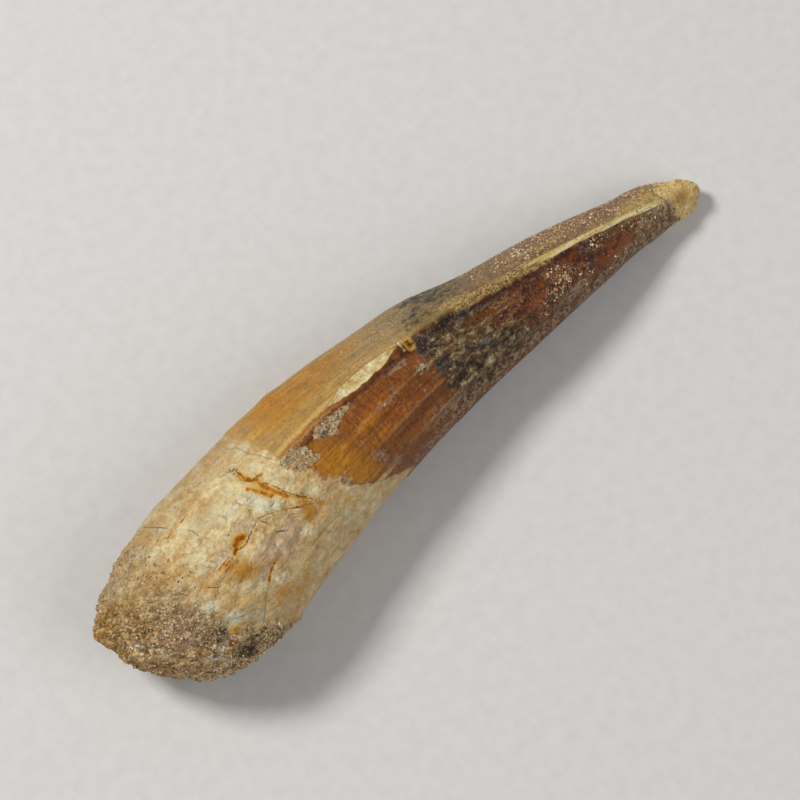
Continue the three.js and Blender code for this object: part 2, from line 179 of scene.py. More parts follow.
# Soft spots of each colour: distance, angle, half length, half width, strength.
SPOTS = {
    "orange": (
        (9.1, 69, 1.0, 0.8, 0.95), (8.8, 77, 0.7, 0.3, 0.9), (10.0, 63, 0.6, 0.4, 0.6),
        (6.4, 83, 0.9, 0.7, 0.6), (11.0, 58, 0.4, 0.3, 0.6), (16.2, 62, 0.6, 0.8, 0.95),
        (15.7, 57, 0.4, 0.5, 0.8), (16.5, 69, 0.4, 0.4, 0.7), (17.2, 58, 0.4, 0.5, 0.8),
        (12.6, 113, 0.6, 0.5, 0.45), (4.4, 116, 0.5, 0.5, 0.5), (5.8, 119, 0.5, 0.6, 0.4),
        (5.5, 104, 0.9, 0.7, 0.5), (6.9, 102, 0.6, 0.5, 0.4), (3.1, 128, 0.3, 0.3, 0.9),
        (9.6, 37, 1.4, 0.9, 0.6), (11.6, 27, 1.6, 0.8, 0.6), (1.4, 97, 0.5, 0.5, 0.9),
        (2.2, 48, 0.4, 0.4, 0.5), (7.6, 150, 1.6, 1.2, 0.3), (13.0, 225, 1.6, 1.4, 0.5),
        (7.8, 285, 2.0, 1.6, 0.5), (15.2, 300, 1.2, 1.2, 0.4),
    ),
    "yellow": (
        (15.0, 92, 0.7, 1.3, 0.6), (14.8, 110, 0.5, 1.0, 0.6), (10.8, 83, 0.7, 0.6, 0.8),
        (18.9, 43, 0.5, 0.5, 0.4), (19.4, 63, 0.7, 0.6, 0.5), (4.9, 45, 0.7, 0.5, 0.8),
        (4.9, 64, 0.6, 0.5, 0.6), (14.2, 135, 1.6, 0.5, 0.35), (15.6, 118, 0.4, 1.2, 0.35),
        (3.4, 120, 1.2, 1.0, 0.6), (1.8, 145, 1.2, 1.5, 1.0), (1.2, 162, 0.9, 1.2, 1.0),
        (2.4, 108, 0.9, 0.8, 0.6), (7.2, 58, 1.0, 0.8, 0.5), (12.5, 33, 1.4, 0.5, 0.4),
        (30.8, 105.5, 0.3, 0.25, 1.0), (33.0, 118, 1.2, 0.6, 0.7), (34.4, 108, 1.6, 0.5, 0.7),
    ),
    "soot": (
        (31.9, 92, 0.7, 0.9, 1.0), (32.1, 84, 0.6, 0.8, 0.8), (32.0, 71, 0.7, 1.0, 1.0),
        (32.6, 62, 1.0, 1.0, 1.0), (33.7, 68, 1.2, 1.1, 0.9), (33.4, 52, 1.5, 1.2, 0.9),
        (33.2, 38, 1.8, 1.1, 0.65), (35.2, 60, 1.2, 1.2, 0.9), (36.2, 52, 1.3, 1.2, 1.0),
        (35.4, 42, 1.8, 1.1, 0.75), (37.4, 46, 1.5, 0.9, 0.9), (38.6, 36, 1.4, 0.8, 0.8),
        (34.8, 26, 2.2, 0.9, 0.5), (35.4, 96, 1.2, 0.35, 0.9), (37.0, 92, 1.6, 0.3, 0.8),
        (33.8, 90, 1.3, 0.6, 0.7), (34.0, 166, 1.7, 1.4, 0.8), (34.7, 148, 1.5, 1.4, 0.9),
        (35.6, 137, 1.3, 1.0, 0.9), (32.8, 127, 1.4, 0.9, 0.7), (33.4, 110, 1.5, 0.8, 0.7),
        (36.6, 160, 1.3, 1.2, 0.5), (45.0, 106, 1.2, 0.45, 0.6), (43.4, 109, 0.7, 0.4, 0.5),
        (35.0, 240, 2.4, 2.2, 0.7), (37.2, 330, 2.0, 1.2, 0.6), (34.0, 300, 2.4, 2.0, 0.6),
    ),
    "chalk": (
        (17.6, 94, 0.5, 0.4, 1.0), (18.5, 92, 0.6, 0.45, 1.0), (19.1, 89.5, 0.5, 0.45, 1.0),
        (18.2, 87, 0.6, 0.6, 1.0), (18.9, 83, 0.45, 0.5, 0.9), (20.9, 91, 0.5, 0.35, 1.0),
        (21.5, 90.5, 0.6, 0.5, 1.0), (22.2, 91, 0.6, 0.42, 1.0), (23.0, 91.5, 0.6, 0.3, 1.0),
        (23.7, 92, 0.6, 0.2, 0.9), (21.9, 87, 0.5, 0.45, 0.9), (19.6, 80.5, 0.3, 0.25, 0.9),
        (0.9, 96, 0.4, 0.9, 0.8), (1.1, 70, 0.5, 0.9, 0.7), (44.2, 64, 0.35, 0.3, 0.8),
        (44.3, 55, 0.3, 0.25, 0.7), (30.5, 77, 0.5, 0.28, 0.7),
        (26.2, 74, 0.45, 0.25, 0.6), (14.85, 119, 0.25, 0.3, 0.8), (26.6, 290, 1.2, 0.8, 0.7),
        (42.0, 250, 1.4, 0.8, 0.6),
    ),
    "blue_white": (
        (13.9, 89, 0.7, 0.9, 0.95), (14.8, 81, 0.5, 0.7, 0.8), (12.2, 100, 1.8, 0.5, 0.6),
        (13.6, 66, 0.5, 0.4, 0.6), (12.6, 60, 0.5, 0.5, 0.5), (5.3, 70, 0.7, 0.6, 0.95),
        (5.4, 53, 0.8, 0.7, 0.95), (8.8, 84, 0.8, 0.4, 0.7), (7.7, 90, 0.7, 0.4, 0.6),
        (11.6, 66, 0.6, 0.5, 0.4), (15.5, 68, 0.3, 0.4, 0.5), (8.7, 146, 0.4, 0.9, 0.5),
        (14.8, 50, 0.8, 0.5, 0.5), (10.6, 45, 0.8, 0.5, 0.6), (3.4, 44, 0.5, 0.6, 0.8),
        (2.3, 36, 0.6, 0.7, 0.8), (6.8, 38, 0.6, 0.5, 0.6),
    ),
    "pink_grey": (
        (13.4, 57, 1.4, 1.1, 0.8), (14.6, 66, 0.6, 0.7, 0.7), (11.7, 86, 1.2, 0.8, 0.8),
        (11.8, 64, 1.3, 1.0, 0.8), (10.0, 60, 0.9, 0.8, 0.5), (9.6, 87, 1.2, 0.5, 0.6),
        (10.8, 112, 1.5, 1.0, 0.6), (16.8, 84, 0.8, 1.0, 0.4), (8.1, 85, 1.2, 0.4, 0.6),
        (3.8, 78, 1.3, 1.0, 0.9), (2.7, 64, 1.4, 1.2, 0.8), (1.4, 84, 0.8, 0.9, 0.7),
        (18.7, 68, 0.7, 0.9, 0.7), (11.6, 230, 2.2, 2.0, 0.5), (14.5, 330, 2.0, 1.2, 0.5),
    ),
    "mauve": (
        (19.6, 57, 0.6, 0.4, 0.9), (19.4, 47, 0.5, 0.4, 0.7), (25.5, 10, 3.2, 0.7, 0.4),
        (30.0, 9, 3.6, 1.0, 0.5), (35.0, 12, 3.4, 1.3, 0.6), (41.0, 14, 4.0, 0.9, 0.7),
        (47.0, 12, 4.5, 0.7, 0.7), (52.0, 17, 3.0, 0.7, 0.8), (53.8, 46, 1.6, 0.9, 0.9),
        (55.0, 60, 0.8, 0.8, 0.9), (38.8, 28, 1.6, 0.7, 0.6), (33.5, 22, 2.4, 0.8, 0.6),
        (18.0, 150, 0.8, 0.7, 0.5), (18.3, 118, 0.8, 0.5, 0.4), (27.4, 127, 2.2, 0.6, 0.55),
        (31.6, 146, 1.2, 0.5, 0.45),
    ),
    "rust": (
        (3.9, 40, 0.35, 0.4, 1.0), (4.5, 43, 0.35, 0.3, 0.7), (4.0, 67, 0.3, 0.3, 0.5),
        (30.6, 86, 0.7, 0.5, 0.9), (29.2, 71, 0.9, 0.35, 0.7), (28.3, 66, 1.0, 0.4, 0.9),
        (29.6, 60, 1.1, 0.35, 0.7), (42.5, 66, 1.0, 0.4, 0.8), (41.0, 62, 0.9, 0.5, 0.8),
        (39.8, 65, 0.7, 0.3, 0.6), (48.4, 53, 1.4, 0.6, 0.8), (49.8, 46, 1.4, 0.5, 0.6),
        (44.4, 44, 1.4, 0.4, 0.5), (31.0, 101, 0.25, 0.3, 0.9), (50.6, 62, 1.0, 0.5, 0.5),
        (26.8, 64, 1.4, 0.5, 0.5), (24.0, 285, 3.0, 1.6, 0.5),
    ),
    "black": (
        (4.2, 52, 0.35, 0.5, 1.0), (3.4, 47, 0.3, 0.3, 0.9), (4.2, 22, 0.5, 0.7, 1.0),
        (3.7, 27, 0.4, 0.3, 0.9), (4.4, 15, 0.3, 0.35, 0.9), (5.6, 4, 0.25, 0.35, 1.0),
        (5.5, 28, 0.35, 0.25, 0.8), (7.0, 20, 0.2, 0.25, 0.7), (31.6, 97, 0.4, 0.4, 1.0),
        (31.4, 89, 0.4, 0.5, 1.0), (32.6, 95, 0.5, 0.3, 0.8), (31.8, 70, 0.4, 0.45, 1.0),
        (32.2, 64, 0.45, 0.4, 0.9), (35.6, 57, 0.6, 0.4, 0.9), (36.4, 51, 0.5, 0.4, 0.9),
        (35.5, 95.5, 0.7, 0.25, 0.9), (21.2, 88, 0.35, 0.22, 1.0), (21.8, 88.5, 0.2, 0.15, 0.8),
        (14.8, 125, 0.1, 0.14, 0.9), (14.85, 122, 0.12, 0.12, 0.9), (14.7, 118, 0.14, 0.14, 0.9),
        (15.15, 119, 0.1, 0.12, 0.9), (15.1, 123, 0.1, 0.1, 0.8), (38.2, 38, 0.9, 0.22, 0.7),
        (34.2, 66, 0.5, 0.3, 0.7), (1.7, 99, 0.2, 0.25, 0.8), (3.2, 220, 0.5, 0.5, 0.8),
    ),
    "gold": (
        (20.5, 152, 2.4, 1.1, 0.9), (24.0, 148, 2.6, 1.0, 1.0), (27.0, 150, 2.0, 0.6, 0.6),
        (20.0, 132, 1.8, 1.0, 0.6), (23.0, 126, 2.2, 0.7, 0.5), (20.2, 72, 1.4, 1.3, 0.9),
        (20.9, 57, 1.0, 1.2, 1.0), (22.2, 47, 1.2, 0.8, 0.8), (24.2, 66, 1.6, 1.4, 0.5),
        (22.0, 240, 3.0, 2.6, 0.7), (23.0, 300, 3.0, 2.0, 0.7),
    ),
    # Pale streaks that are a painted highlight, on the top of the root and on the crown.
    "bright": (
        (15.0, 108, 2.0, 1.0, 0.8), (12.8, 110, 2.0, 0.7, 1.0), (10.6, 117, 1.6, 0.8, 0.7),
        (8.0, 118, 1.3, 0.6, 0.8), (16.2, 128, 0.8, 1.8, 0.7), (16.6, 96, 0.8, 0.8, 0.6),
        (18.2, 76, 0.5, 1.2, 0.4), (21.6, 31, 1.7, 0.3, 0.95), (17.6, 210, 2.0, 2.0, 0.5),
    ),
    "sand": (
        (40.0, 82, 1.6, 0.8, 0.7), (38.6, 76, 1.3, 0.8, 0.6), (45.2, 118, 1.6, 0.5, 0.5),
        (37.6, 66, 1.2, 0.8, 0.5), (52.6, 102, 1.8, 0.7, 1.0), (53.4, 84, 1.6, 0.4, 0.7),
        (35.6, 112, 2.0, 0.6, 0.5), (54.6, 110, 1.4, 0.6, 0.7),
    ),
    "grey": (
        (28.6, 92, 0.8, 0.28, 0.9), (29.4, 91.5, 0.6, 0.3, 0.9), (30.5, 77, 0.7, 0.4, 0.8),
        (26.2, 74, 0.8, 0.3, 0.7), (27.5, 77, 0.4, 0.3, 0.7), (29.6, 32, 1.6, 0.6, 0.8),
        (31.4, 29, 1.2, 0.5, 0.8), (23.2, 51, 0.5, 0.4, 0.7), (23.4, 44, 0.5, 0.35, 0.8),
        (24.0, 32, 0.9, 0.35, 0.7), (22.8, 64, 0.4, 0.3, 0.5), (43.8, 36, 1.1, 0.4, 0.9),
        (45.0, 40, 0.9, 0.3, 0.7), (36.3, 59, 0.8, 0.4, 0.8), (37.0, 44, 0.8, 0.3, 0.8),
        (54.4, 70, 1.4, 0.5, 0.7), (56.2, 30, 1.0, 0.6, 0.8), (29.0, 122, 2.4, 1.0, 0.5),
        (31.4, 140, 1.8, 1.2, 0.5),
    ),
    "dots": (
        (38.5, 150, 2.4, 1.4, 0.5), (41.5, 140, 2.6, 1.6, 0.8), (45.0, 150, 2.6, 1.4, 0.9),
        (48.0, 132, 2.6, 1.6, 1.0), (51.0, 122, 2.2, 1.4, 1.0), (46.0, 118, 2.0, 0.8, 0.9),
        (53.4, 138, 1.8, 1.6, 1.0), (42.0, 118, 1.8, 0.7, 0.5), (44.0, 62, 0.8, 0.9, 1.0),
        (45.6, 50, 0.8, 0.6, 0.9), (43.2, 79, 0.5, 0.5, 0.9), (47.7, 78, 0.9, 0.4, 1.0),
        (42.8, 55, 0.9, 0.5, 0.9), (52.4, 66, 1.4, 0.6, 0.8), (45.2, 36, 0.8, 0.4, 0.7),
        (49.6, 32, 1.6, 0.4, 0.6), (41.6, 44, 1.2, 0.5, 0.7), (25.0, 75, 0.6, 0.5, 0.5),
        (30.0, 140, 2.6, 1.4, 0.6), (28.0, 124, 2.0, 1.0, 0.4), (23.0, 60, 1.4, 1.0, 0.25),
    ),
    "umber": (
        (44.6, 76, 1.6, 0.3, 0.5), (47.4, 74, 1.8, 0.3, 0.4), (50.8, 66, 1.6, 0.3, 0.4),
        (39.6, 56, 1.4, 1.0, 0.5), (46.6, 64, 1.6, 0.7, 0.6), (41.6, 78, 1.2, 0.6, 0.6),
        (56.6, 72, 0.9, 0.75, 1.0), (34.2, 82, 1.5, 0.7, 0.5), (28.0, 84, 1.6, 0.5, 0.4),
        (24.6, 84, 1.6, 0.3, 0.4), (27.4, 46, 2.0, 0.3, 0.3), (20.4, 93, 1.4, 0.25, 0.8),
    ),
}
SPOT_LAYERS = (
    ("orange", "yellow", "soot"),
    ("chalk", "blue_white", "pink_grey"),
    ("mauve", "rust", "black"),
    ("gold", "bright", "sand"),
    ("grey", "dots", "umber"),
)

# ---- how fine the skin is ----
COLUMNS = 260
PATTERN_RADIUS = 5
ROOT_END_ROWS, BODY_ROWS, TIP_ROWS = 78, 282, 20
ROWS = ROOT_END_ROWS + BODY_ROWS + TIP_ROWS
TOP_CROWDING = 0.35
MIDDLE_LINE_STEPS = 400

# ---- small functions of numbers and arrays ----


def smoothstep(value, low, high):
    """0 below low, 1 above high, and 3t^2 - 2t^3 between them."""
    t = np.clip((value - low) / (high - low), 0, 1)
    return t * t * (3 - 2 * t)


def mixed(a, b, share):
    """a where share is 0 and b where it is 1."""
    return a + (b - a) * share


def bell(offset, width):
    """A bell curve: e to the power of minus half the square of offset over width."""
    return np.exp(-0.5 * (offset / width) ** 2)


def hump(offset, half):
    """The square of 1 - x^2, where x is offset over half, and 0 past it."""
    share = np.clip(np.abs(offset) / half, 0, 1)
    return (1 - share * share) ** 2


def turn_between(start, end):
    """The turn in degrees from one angle to another, between -180 and 180."""
    return np.mod(end - start + 180, 360) - 180


def smooth_through(before, left, right, after, share):
    """The uniform Catmull-Rom cubic between left and right."""
    slope_left, slope_right = (right - before) / 2, (after - left) / 2
    cubic = 2 * left - 2 * right + slope_left + slope_right
    square = -3 * left + 3 * right - 2 * slope_left - slope_right
    return ((cubic * share + square) * share + slope_left) * share + left


def stations(values, distance):
    """A value that runs smoothly through evenly spaced stations from root end to tip."""
    values = np.asarray(values, float)
    last = len(values) - 1
    place = np.clip(distance / TOOTH_LENGTH, 0, 1) * last
    i = np.minimum(place.astype(int), last - 1)
    near = [values[np.clip(i + k, 0, last)] for k in (-1, 0, 1, 2)]
    return smooth_through(*near, place - i)


def round_the_section(values, angle):
    """A value that runs smoothly round a section, given at evenly spaced angles."""
    values = np.asarray(values, float)
    place = np.mod(angle, 360) / 360 * len(values)
    i = place.astype(int)
    near = [values[(i + k) % len(values)] for k in (-1, 0, 1, 2)]
    return smooth_through(*near, place - i)


def cell_value(cell, seed):
    """A fixed pseudo-random value from 0 to 1 for each whole-numbered cell."""
    x, y, z = (cell[..., k].astype(np.int64) for k in range(3))
    mixed_bits = (x * 73856093) ^ (y * 19349663) ^ (z * 83492791) ^ (seed * 26544357)
    mixed_bits = ((mixed_bits ^ (mixed_bits >> 13)) * 1274126177) & 0xFFFFFFFF
    return ((mixed_bits ^ (mixed_bits >> 16)) & 0xFFFFFF) / 0xFFFFFF


def soft_noise(point, seed):
    """Value noise, -1 to 1: the eight corner values of each cell blended by smoothstep."""
    cell = np.floor(point)
    share = point - cell
    share = share * share * (3 - 2 * share)
    total = np.zeros(point.shape[:-1])
    for corner in np.ndindex(2, 2, 2):
        corner = np.array(corner)
        weight = np.prod(np.where(corner == 1, share, 1 - share), axis=-1)
        total += weight * cell_value(cell + corner, seed)
    return 2 * total - 1


def rough_noise(point, octaves, seed):
    """Soft noise added to itself, each layer twice as fine and half as strong."""
    layers = [soft_noise(point * 2.0 ** k + 7.3 * k, seed + k) / 2.0 ** k for k in range(octaves)]
    return sum(layers) / sum(0.5 ** k for k in range(octaves))


def grains_noise(point, seed):
    """Rounded grains, 0 in the joints to 1 on the tops: 1 minus the distance to the nearest of
    the points scattered one to a cell."""
    cell = np.floor(point)
    nearest = np.full(point.shape[:-1], 9.0)
    for step in np.ndindex(3, 3, 3):
        other = cell + np.array(step) - 1
        centre = other + np.stack([cell_value(other, seed + k) for k in range(3)], -1)
        nearest = np.minimum(nearest, np.linalg.norm(point - centre, axis=-1))
    return np.clip(1 - nearest, 0, 1)


# ---- the plain form ----


def heading(share):
    """The middle line's turn about Z, in radians: two smoothsteps added together."""
    bend = smoothstep(share, *BEND)
    hook = smoothstep(share, *TIP_BEND)
    turn = mixed(ROOT_HEADING, CROWN_HEADING, bend) + (TIP_HEADING - CROWN_HEADING) * hook
    return np.radians(turn)


def middle_line(distance):
    """Points of the middle line: the running sum of short steps along its heading."""
    step = TOOTH_LENGTH / MIDDLE_LINE_STEPS
    turn = heading((np.arange(MIDDLE_LINE_STEPS) + 0.5) / MIDDLE_LINE_STEPS)
    walked = np.arange(MIDDLE_LINE_STEPS + 1) * step
    x = np.concatenate([[0], np.cumsum(step * np.cos(turn))])
    y = np.concatenate([[0], np.cumsum(step * np.sin(turn))])
    return np.interp(distance, walked, x), np.interp(distance, walked, y)


def rounded_end(from_end, rounding, fullness):
    """A superellipse quarter that rises from 0 at the end to 1 where the rounding stops."""
    left = 1 - np.clip(from_end / rounding, 0, 1)
    return (1 - left ** fullness) ** (1 / fullness)


def end_rounding(distance):
    """The product of the two rounded ends."""
    root = rounded_end(distance, ROOT_END_ROUNDING, ROOT_END_FULLNESS)
    return root * rounded_end(TOOTH_LENGTH - distance, TIP_ROUNDING, TIP_FULLNESS)


def tooth_point(distance, angle, relief):
    """A point of the tooth in millimetres: an oval section across the middle line, flattened on
    its outer face and pushed out by relief, along its own normal on the sides and along the
    tooth at both ends, and cut off level where it rests."""
    x, y = middle_line(distance)
    turn = heading(distance / TOOTH_LENGTH)
    rounding = end_rounding(distance)
    offset = turn_between(stations(RIDGE_ANGLES, distance) + FACET_TURN, angle)
    size = rounding * (1 - FACET_DEPTH * hump(offset, FACET_HALF_ANGLE))
    width, depth = stations(HALF_WIDTHS, distance), stations(HALF_DEPTHS, distance)
    cosine, sine = np.cos(np.radians(angle)), np.sin(np.radians(angle))

    steepness = np.hypot(cosine / width, sine / depth)
    endwards = np.sqrt(1 - rounding * rounding) * np.where(distance < TOOTH_LENGTH / 2, -1, 1)
    across = -width * size * cosine - relief * rounding * cosine / width / steepness
    up = depth * size * sine + relief * rounding * sine / depth / steepness
    slant = -ROOT_END_SLANT * (across / HALF_WIDTHS[0]) * (1 - smoothstep(distance, 0, SLANT_FADE))
    along = slant + relief * endwards

    lift_share = np.clip((distance - CROWN_LIFT_FROM) / (TOOTH_LENGTH - CROWN_LIFT_FROM), 0, 1)
    lift = CROWN_LIFT * np.sin(np.pi * lift_share) ** 2
    z = depth - RESTING_CUT + lift + up
    return np.stack([
        x - np.sin(turn) * across + np.cos(turn) * along,
        y + np.cos(turn) * across + np.sin(turn) * along,
        np.maximum(z, 0),
    ], -1)


# ---- relief ----


def swells_at(point, swells):
    """The sum of round bells of the listed heights, centred on the plain form."""
    total = np.zeros(point.shape[:-1])
    for distance, angle, radius, height in swells:
        centre = tooth_point(np.array(float(distance)), np.array(float(angle)), 0)
        total += height * bell(np.linalg.norm(point - centre, axis=-1), radius)
    return total


def pebbles(point):
    """Crossing sine waves, about -1 to 1."""
    x, y, z = point[..., 0], point[..., 1], point[..., 2]
    coarse = np.sin(1.7 * x + 1.1 * z) * np.sin(1.9 * y - 0.8 * z + 1.3)
    middling = np.sin(3.1 * x - 1.9 * y + 0.7) * np.sin(2.7 * z + 1.2 * y)
    return 0.65 * coarse + 0.35 * middling


def arc_radius(distance, angle):
    """How far a point moves round the section for each radian of angle."""
    cosine, sine = np.cos(np.radians(angle)), np.sin(np.radians(angle))
    return np.hypot(stations(HALF_WIDTHS, distance) * sine, stations(HALF_DEPTHS, distance) * cosine)


def nearest_line(distance, angle, lines):
    """Signed and plain distance in millimetres to the nearest of the lines, and that line's
    half width. Each stretch between two points is straight on the unrolled surface."""
    signed = np.full(distance.shape, 9.0)
    plain = np.full(distance.shape, 9.0)
    width = np.zeros(distance.shape)
    radius = arc_radius(distance, angle)
    for half_width, points in lines:
        for start, end in zip(points[:-1], points[1:]):
            along = distance - start[0]
            round_it = np.radians(turn_between(start[1], angle)) * radius
            run = end[0] - start[0]
            rise = math.radians(end[1] - start[1]) * radius
            share = np.clip((along * run + round_it * rise) / (run * run + rise * rise), 0, 1)
            gap = np.hypot(along - share * run, round_it - share * rise)
            side = np.sign(run * round_it - rise * along)
            closer = gap < plain
            plain = np.where(closer, gap, plain)
            signed = np.where(closer, gap * side, signed)
            width = np.where(closer, half_width, width)
    return signed, plain, width


def spots_at(distance, angle, spots):
    """Soft oval spots, joined so that they never pass 1."""
    left = np.ones(distance.shape)
    radius = arc_radius(distance, angle)
    for place, round_to, half_length, half_width, strength in spots:
        round_it = np.radians(turn_between(round_to, angle)) * radius
        reach = np.hypot((distance - place) / half_length, round_it / half_width)
        left *= 1 - strength * bell(reach, 0.75)
    return 1 - left


class Surface:
    """Everything that the skin knows about its own places: millimetres along and round, how
    deep inside each zone a point lies, and its relief."""

    def __init__(self, distance, angle):
        """Each zone is the distance past its edge, with noise added so that the edge wanders. The
        chip is an oval on the ridge, joined with a square nick beyond its end."""
        self.distance, self.angle = distance, angle
        self.plain = tooth_point(distance, angle, 0)
        self.turn = turn_between(stations(RIDGE_ANGLES, distance), angle)
        self.ridge_offset = np.radians(self.turn) * stations(HALF_WIDTHS, distance)
        wander = rough_noise(self.plain * 0.9, 4, 11)
        self.enamel_in = distance - round_the_section(ENAMEL_EDGE, angle) + 0.45 * wander
        self.crust_in = round_the_section(CRUST_EDGE, angle) - distance + 0.8 * wander
        self.tip_in = distance - mixed(TIP_CRUST_FROM, TOOTH_LENGTH, 0.45) + 1.2 * wander
        reach = CHIP_WIDTH * np.sqrt(hump(distance - CHIP_AT, CHIP_HALF_LENGTH))
        chip = np.minimum(reach - self.ridge_offset, self.ridge_offset + 0.7 * reach) - 0.04
        nick = np.minimum(
            NICK_HALF_LENGTH - np.abs(distance - NICK_AT),
            NICK_HALF_WIDTH - np.abs(self.ridge_offset + 0.02))
        ragged = CHIP_RAGGEDNESS * rough_noise(self.plain * 2.2, 3, 21)
        ragged *= smoothstep(distance, RAGGED_FROM, RAGGED_FULLY_FROM)
        self.chip_in = np.maximum(chip, nick) + ragged
        self.cracks = nearest_line(distance, angle, DARK_CRACKS)
        self.stained = nearest_line(distance, angle, STAINED_CRACKS)
        self.flute = self.flutes()
        self.relief = self.whole_relief()
        self.point = tooth_point(distance, angle, self.relief)

    def flutes(self):
        """Waves round the section, with the reach of the fluted face. The crests alone are kept
        at their full height, for their colour."""
        start = round_the_section(ENAMEL_EDGE, self.angle) + FLUTED_FROM
        end = 1 - smoothstep(self.distance, FLUTED_TO - 12, FLUTED_TO)
        lengthwise = smoothstep(self.distance, start, start + 4) * end
        middle = (FLUTED_FACE[0] + FLUTED_FACE[1]) / 2
        offset = turn_between(middle, self.angle)
        crosswise = np.sqrt(hump(offset, (FLUTED_FACE[1] - FLUTED_FACE[0]) / 2))
        wave = np.cos(FLUTES * np.radians(self.turn + FLUTE_SHIFT))
        reach = smoothstep(self.distance, start - 1, start + 2) * end * smoothstep(crosswise, 0.05, 0.3)
        self.crest = reach * wave
        return lengthwise * crosswise * wave

    def ridge(self):
        """Straight-sided crests on both edges, a groove below the first, and its chip."""
        height = stations(RIDGE_HEIGHTS, self.distance)
        hidden = np.radians(turn_between(HIDDEN_RIDGE_TURN, self.turn))
        hidden = hidden * stations(HALF_WIDTHS, self.distance)
        crest = np.clip(1.08 - np.hypot(self.ridge_offset, 0.08) / RIDGE_HALF_WIDTH, 0, 1)
        hidden_crest = np.clip(1 - np.abs(hidden) / RIDGE_HALF_WIDTH, 0, 1)
        undercut = UNDERCUT_DEPTH * bell(self.ridge_offset - UNDERCUT_OFFSET, UNDERCUT_WIDTH)
        in_enamel = smoothstep(self.enamel_in, 0, ENAMEL_TAPER)
        whole = height * (crest + HIDDEN_RIDGE_SHARE * hidden_crest) - undercut * in_enamel
        chipped = smoothstep(self.chip_in, -0.02, 0.22)
        scooped = 0.03 * rough_noise(self.plain * 1.8, 3, 31)
        return mixed(whole, whole * 0.35 - CHIP_DEPTH * 0.6 + scooped, chipped)

    def crust(self):
        """Sandstone: a thin uneven layer of packed grains on the root end and the tip."""
        root = smoothstep(self.crust_in, -CRUST_TAPER, CRUST_TAPER)
        tip = smoothstep(self.tip_in, -2.2, 1.2)
        rough = pebbles(self.plain)
        packed = grains_noise(self.plain * 2.6, 41) + 0.5 * grains_noise(self.plain * 5.2, 47) - 0.75
        clumps = grains_noise(self.plain * 1.15, 59) - 0.5
        ragged = rough_noise(self.plain * 1.3, 3, 53)
        worn = bell(turn_between(140, self.angle), 32) * smoothstep(self.distance, 2.5, 5.5)
        grain = PACKED_GRAIN_HEIGHT * packed + CLUMP_HEIGHT * clumps + CRUST_UNEVENNESS * ragged
        root_relief = CRUST_THICKNESS + CRUST_ROUGHNESS * rough + grain * (1 - 0.7 * worn)
        tip_relief = TIP_CRUST_ROUGHNESS * rough + TIP_GRAIN_HEIGHT * packed + TIP_CLUMP_HEIGHT * clumps
        return root * root_relief + tip * tip_relief

    def whole_relief(self):
        """The sum of enamel, ridges, flutes, crust, swells, grooves and fine roughness."""
        enamel = smoothstep(self.enamel_in, 0, ENAMEL_TAPER)
        bare_root = (1 - enamel) * (1 - smoothstep(self.crust_in, -0.3, 0.3))
        flute = FLUTE_DEPTH * np.where(self.flute > 0, self.flute ** 2 * 1.2, self.flute)
        phase = 2 * np.pi * self.distance / WRINKLE_SPACING
        wrinkles = WRINKLE_HEIGHT * np.sin(phase + 3 * rough_noise(self.plain, 3, 61))
        worn = ROOT_UNEVENNESS * rough_noise(self.plain * 0.8, 4, 71)
        worn = worn + ROOT_ROUGHNESS * rough_noise(self.plain * 3, 3, 73)
        _, plain, width = self.cracks
        groove = -CRACK_DEPTH * bell(plain, width + 0.06)
        _, plain, width = self.stained
        groove = groove - STAINED_CRACK_DEPTH * bell(plain, width * 0.8 + 0.001)
        chalk = spots_at(self.distance, self.angle, SPOTS["chalk"])
        chalky = smoothstep(chalk, 0.35, 0.6) * (0.05 + 0.1 * grains_noise(self.plain * 4.2, 83))
        sooty = smoothstep(spots_at(self.distance, self.angle, SPOTS["soot"]), 0.3, 0.8)
        return (
            ENAMEL_THICKNESS * enamel + self.ridge() + flute + self.crust()
            + swells_at(self.plain, LUMPS) - swells_at(self.plain, HOLLOWS)
            + 1.3 * swells_at(self.plain, SMALL_SWELLS)
            + wrinkles * enamel * smoothstep(np.abs(self.flute), 0, 0.2)
            + worn * bare_root + groove + chalky
            + 0.04 * sooty * rough_noise(self.plain * 3.2, 3, 91) * enamel
        )


# ---- meshes ----


def row_distances():
    """Even steps of a quarter circle over each rounded end, and even steps between them."""
    root = ROOT_END_ROUNDING * (1 - np.cos(np.linspace(0, np.pi / 2, ROOT_END_ROWS + 1)))
    tip = TOOTH_LENGTH - TIP_ROUNDING * (1 - np.cos(np.linspace(np.pi / 2, 0, TIP_ROWS + 1)))
    body = np.linspace(ROOT_END_ROUNDING, TOOTH_LENGTH - TIP_ROUNDING, BODY_ROWS + 1)
    return np.concatenate([root, body[1:], tip[1:]])


def column_angles():
    """A full turn from the underside, with steps that shorten towards the top."""
    share = np.arange(COLUMNS) / COLUMNS
    return -90 + 360 * (share + TOP_CROWDING / (2 * np.pi) * np.sin(2 * np.pi * share))


def closed_grid_faces(rows, columns):
    """Quads between neighbouring rows and triangle fans round the two poles. Vertices are the
    first pole, then the rows between, then the last pole."""
    row = np.arange(rows - 2)[:, None] * columns
    here, after = np.arange(columns), (np.arange(columns) + 1) % columns
    quads = np.stack([row + here, row + after, row + columns + after, row + columns + here], -1)
    quads = quads.reshape(-1, 4) + 1
    first = np.stack([np.zeros(columns, int), after + 1, here + 1], -1)
    last_ring = (rows - 2) * columns + 1
    pole = (rows - 1) * columns + 1
    last = np.stack([np.full(columns, pole), here + last_ring, after + last_ring], -1)
    return quads, np.concatenate([first, last])


